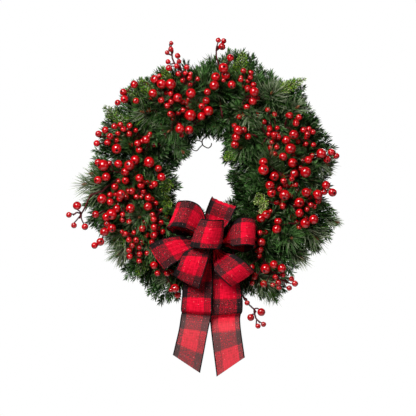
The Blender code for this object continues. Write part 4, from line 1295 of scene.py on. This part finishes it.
class StageSettings(bpy.types.PropertyGroup):
    """Camera, lamps and floor."""
    distance: length_value("Camera distance", "From the camera to the greenery", 3.8)
    view_width: length_value("View width", "Width that the camera sees there", 0.911)
    floor_drop: length_value("Floor drop", "From the lowest ribbon to the floor", 1.1)
    key_power: power_value("Key light", "Power of the soft key light", 108.0)
    fill_power: power_value("Fill light", "Power of the soft fill light", 8.0)
    back_power: power_value("Back light", "Power of the light behind", 40.0)


# ---------------------------------------------------------------- operators


class WREATH_OT_ring_frame(bpy.types.Operator):
    """Bend the two ring wires and weld their cross bars"""
    bl_idname = "wreath.ring_frame"
    bl_label = "Ring frame"

    def execute(self, context):
        lines = []
        for radius in (OUTER_RING, INNER_RING):
            ring = [around(angle, radius) for angle in np.linspace(0, 360, 145)]
            lines.append(tapered(ring, RING_WIRE_RADIUS, RING_WIRE_RADIUS))
        for angle in range(0, 360, 60):
            bar = [around(angle, INNER_RING), around(angle, OUTER_RING)]
            lines.append(tapered(bar, CROSS_BAR_RADIUS, CROSS_BAR_RADIUS))
        enamel = make_wire_material("enamelled_steel_wire", "#14241a", "#20382a")
        make_tubes("ring_wires", lines, "painted_wire", enamel, 2, "ring_frame")
        return {"FINISHED"}


class WREATH_OT_outer_branches(bpy.types.Operator):
    """Make the pine tips of the outer rank and of the front"""
    bl_idname = "wreath.outer_branches"
    bl_label = "Outer branches"

    def execute(self, context):
        settings = context.scene.wreath_pine
        rng = np.random.default_rng(11)
        tips = rim_tips(rng, settings) + row_tips(rng, settings, OUTER_ROWS)
        build_rank("outer", OUTER_RANK, tips, settings)
        return {"FINISHED"}


class WREATH_OT_inner_branches(bpy.types.Operator):
    """Make the pine tips round the hole and over the inner ring"""
    bl_idname = "wreath.inner_branches"
    bl_label = "Inner branches"

    def execute(self, context):
        settings = context.scene.wreath_pine
        rng = np.random.default_rng(23)
        tips = hole_tips(rng, settings) + row_tips(rng, settings, INNER_ROWS)
        build_rank("inner", INNER_RANK, tips, settings)
        return {"FINISHED"}


class WREATH_OT_sprigs(bpy.types.Operator):
    """Add the long-needled sprigs with their buds, the moulded fir tips and dry vine"""
    bl_idname = "wreath.sprigs"
    bl_label = "Sprigs"

    def execute(self, context):
        settings = context.scene.wreath_pine
        rng = np.random.default_rng(37)
        material = shared_material("cut_pvc_needles", make_needle_material, settings)
        tape = shared_material("taped_stem_wire", make_stem_material)
        needles, stems, buds = [], [], []
        for foot, bud, length, tone in LONG_SPRIGS:
            line = bowed(place(*foot), place(*bud), rng.normal(0, 0.001, 3))
            frosted = tone > 0.75          # frosted sprigs carry fewer needles, some dark
            needles.append(brush(
                rng, line, settings.long_density * (0.6 if frosted else 1.0), length, (60, 40),
                tone - 0.05 * frosted, width=0.0014, droop=0.04, segments=2,
                spread=0.08 if frosted else 0.06,
            ))
            stem = curve_points([*ring_foot(foot, 0.6), place(*bud)], 14)
            stems.append(tapered(stem, *SPRIG_STEM))
            way = unit(line[-1] - line[-2])
            buds.append((line[-1] + way * BUD_PLACES[:, None], BUD_RADII))
        make_needles("long_needle_sprigs", needles, material)
        needles, spines = [], []
        for foot, end, width, tone in FIR_TIPS:
            lines, made = fir_tip(rng, foot, end, width, tone)
            needles += made
            spines += [tapered(line, *FIR_TWIG) for line in lines]
            stems.append(tapered(curve_points(ring_foot(foot, 0.7), 10), *FIR_STEM))
        make_needles("moulded_fir_tips", needles, material)
        make_tubes("sprig_stems", stems + spines, "brown_twig", tape, 0)
        make_tubes("sprig_buds", buds, "brown_twig", make_bud_material())
        vines = [
            tapered(curve_points([place(*point) for point in points], 48), *VINE_STEM)
            for points in CURLED_VINES
        ]
        make_tubes("curled_vine", vines, "brown_twig", tape)
        return {"FINISHED"}


class WREATH_OT_berry_sprays(bpy.types.Operator):
    """Make every berry spray with its stems, twigs, berries and calyxes"""
    bl_idname = "wreath.berry_sprays"
    bl_label = "Berry sprays"

    def execute(self, context):
        settings = context.scene.wreath_berry
        materials = (
            make_berry_material(settings), make_calyx_material(), make_twig_material(settings),
        )
        ball, calyx = ball_template(), calyx_template()
        for index, (name, spray) in enumerate(SPRAYS.items()):
            rng = np.random.default_rng(100 + index)
            make_spray(name, spray, settings, rng, ball, calyx, materials)
        return {"FINISHED"}


class WREATH_OT_bow_ribbons(bpy.types.Operator):
    """Make the loops and the tails of the bow"""
    bl_idname = "wreath.bow_ribbons"
    bl_label = "Bow loops and tails"

    def execute(self, context):
        settings = context.scene.wreath_ribbon
        plain = make_ribbon_material(settings)
        for index, (name, stations) in enumerate(RIBBONS.items()):
            rng = np.random.default_rng(300 + index)
            material, held = plain, "gathered"
            # Each tail gets its own copy of the ribbon material, with painted light on its hanging
            # end.
            if name in TAIL_PAINTED_LIGHT:
                material = make_ribbon_material(settings, name + "_check", TAIL_PAINTED_LIGHT[name])
                held = "hung"
            make_ribbon(name, stations, RIBBON_LAY[name], settings, rng, material)
        return {"FINISHED"}


class WREATH_OT_bow_tie(bpy.types.Operator):
    """Make the wire that gathers the bow and ties it to the inner ring"""
    bl_idname = "wreath.bow_tie"
    bl_label = "Bow tie"

    def execute(self, context):
        core = [place(*KNOT, KNOT_BACK), place(*KNOT, KNOT_FRONT)]
        coil = [
            place(KNOT[0] + math.cos(spin) * COIL_RADIUS, KNOT[1] + math.sin(spin) * COIL_RADIUS,
                  forward)
            for spin, forward in zip(np.linspace(0, 50, 120),
                                     np.linspace(KNOT_BACK + 2, KNOT_FRONT - 2, 120))
        ]
        lines = [
            tapered(coil, COIL_WIRE_RADIUS, COIL_WIRE_RADIUS),
            tapered(core, CORE_RADIUS, CORE_RADIUS),
        ]
        path = curve_points([
            around(KNOT_ANGLE, INNER_RING), around(KNOT_ANGLE, INNER_RING, 30), core[0],
        ], 24)
        # Two wires twisted round each other run from the ring to the knot.
        turn = np.arange(len(path)) * 0.9
        for shift in (0.0, math.pi):
            beside = np.stack([np.cos(turn + shift), turn * 0, np.sin(turn + shift)], axis=1)
            lines.append(tapered(path + 0.0011 * beside, TIE_WIRE_RADIUS, TIE_WIRE_RADIUS))
        lines.append(binding(KNOT_ANGLE, INNER_RING))
        enamel = make_wire_material("black_florist_wire", "#100e0e", "#231e1e")
        make_tubes("bow_tie_wire", lines, "tie_wire", enamel, node="bow_tie")
        return {"FINISHED"}


def add_lamp(name, where, target, size, power):
    """A soft round lamp at a place, turned to its target."""
    light = bpy.data.lights.new(name, "AREA")
    light.shape = "DISK"
    light.size = size
    light.energy = power
    holder = bpy.data.objects.new(name, light)
    bpy.context.scene.collection.objects.link(holder)
    holder.location = where
    holder.rotation_euler = (Vector(target) - Vector(where)).to_track_quat("-Z", "Y").to_euler()


def make_paper_material():
    """Matt white paper, barely clouded, that shows a soft shadow."""
    material = mottled("matt_white_paper", 333.3, 2.0, [
        (0.3, linear("#e9e9e8")), (0.7, linear("#f1f1f0")),
    ], Roughness=0.9, Emission_Color=WHITE)
    # The camera alone sees the paper paler than it is lit; shadows still fall on it.
    tree = material.node_tree
    rays = add_node(tree, "LightPath").outputs
    pale = add_node(tree, "Math", [rays["Is Camera Ray"], 0.42], operation="MULTIPLY")
    tree.links.new(pale.outputs[0], tree.nodes["Principled BSDF"].inputs["Emission Strength"])
    return material


class WREATH_OT_stage(bpy.types.Operator):
    """Set the floor, the soft lamps, the white surroundings and the camera"""
    bl_idname = "wreath.stage"
    bl_label = "Stage"

    def execute(self, context):
        settings = context.scene.wreath_stage
        scene = context.scene
        floor_mesh = bpy.data.meshes.new("studio_floor")
        work = bmesh.new()
        bmesh.ops.create_circle(work, cap_ends=True, segments=96, radius=FLOOR_RADIUS)
        work.to_mesh(floor_mesh)
        work.free()
        floor_mesh.materials.append(make_paper_material())
        floor = bpy.data.objects.new("studio_floor", floor_mesh)
        floor.location = (0.0, 0.0, CAD_BOX[0][2] - settings.floor_drop)
        scene.collection.objects.link(floor)

        scene.world = bpy.data.worlds.new("white_studio")
        scene.world.use_nodes = True
        scene.world.node_tree.nodes.clear()
        add = partial(add_node, scene.world.node_tree)
        rays = add("LightPath").outputs
        # The white backdrop stands behind the wreath, so glossy parts show it only on
        # their flanks; the room before it is no brighter than its light on the object.
        way = add("SeparateXYZ", [add("TexCoord").outputs["Generated"]])
        behind = add("MapRange", [way.outputs[1], 0.85, 1.0])
        shown = add("Math", [rays["Is Glossy Ray"], behind], operation="MULTIPLY")
        seen = add("Math", [rays["Is Camera Ray"], shown], operation="ADD")
        seen = add("Math", [seen, rays["Is Transmission Ray"]], operation="ADD", use_clamp=True)
        soft = add("Background", [WHITE, 0.045])
        plain = add("Background", [WHITE, 1.0])
        add("OutputWorld", [add("MixShader", [seen, soft, plain])], is_active_output=True)

        middle = (0.0, -0.05, float(RING_CENTRE[2]) - 0.07)
        add_lamp("key", (-1.15, -2.2, 1.4), middle, 1.6, settings.key_power)
        add_lamp("fill", (2.0, -1.8, 0.1), middle, 1.6, settings.fill_power)
        add_lamp("back", (0.8, 2.2, 0.9), middle, 1.4, settings.back_power)

        lens = bpy.data.cameras.new("front_camera")
        lens.sensor_width = 36.0
        lens.lens = lens.sensor_width * settings.distance / settings.view_width
        lens.clip_end = 50.0
        camera = bpy.data.objects.new("front_camera", lens)
        camera.location = place(*CAMERA_AIM, GREENERY_FRONT + settings.distance / MM)
        camera.rotation_euler = (math.radians(90), 0.0, 0.0)
        scene.collection.objects.link(camera)
        scene.camera = camera
        scene.view_settings.view_transform = "Standard"
        return {"FINISHED"}


class WREATH_PT_panel(bpy.types.Panel):
    """Lists the wreath's settings and the steps that build it"""
    bl_label = "Wreath"
    bl_idname = "WREATH_PT_panel"
    bl_space_type = "VIEW_3D"
    bl_region_type = "UI"
    bl_category = "Wreath"

    def draw(self, context):
        for operator in OPERATORS:
            self.layout.operator(operator.bl_idname)
        for name, group in GROUPS.items():
            box = self.layout.box()
            settings = getattr(context.scene, name)
            for value in group.__annotations__:
                box.prop(settings, value)


GROUPS = {
    "wreath_pine": PineSettings, "wreath_berry": BerrySettings,
    "wreath_ribbon": RibbonSettings, "wreath_stage": StageSettings,
}
OPERATORS = (
    WREATH_OT_ring_frame, WREATH_OT_outer_branches, WREATH_OT_inner_branches,
    WREATH_OT_sprigs, WREATH_OT_berry_sprays, WREATH_OT_bow_ribbons, WREATH_OT_bow_tie,
    WREATH_OT_stage,
)


def register():
    """Register the settings, the operators and the panel."""
    for group in GROUPS.values():
        bpy.utils.register_class(group)
    for name, group in GROUPS.items():
        setattr(bpy.types.Scene, name, PointerProperty(type=group))
    for operator in (*OPERATORS, WREATH_PT_panel):
        bpy.utils.register_class(operator)


def unregister():
    """Take away what register added, in the opposite order."""
    for operator in reversed((*OPERATORS, WREATH_PT_panel)):
        bpy.utils.unregister_class(operator)
    for name in GROUPS:
        delattr(bpy.types.Scene, name)
    for group in reversed(list(GROUPS.values())):
        bpy.utils.unregister_class(group)


def main():
    """Build the whole wreath."""
    register()
    bpy.ops.wreath.ring_frame()
    bpy.ops.wreath.outer_branches()
    bpy.ops.wreath.inner_branches()
    bpy.ops.wreath.sprigs()
    bpy.ops.wreath.berry_sprays()
    bpy.ops.wreath.bow_ribbons()
    bpy.ops.wreath.bow_tie()
    bpy.ops.wreath.stage()


if __name__ == "__main__":
    main()
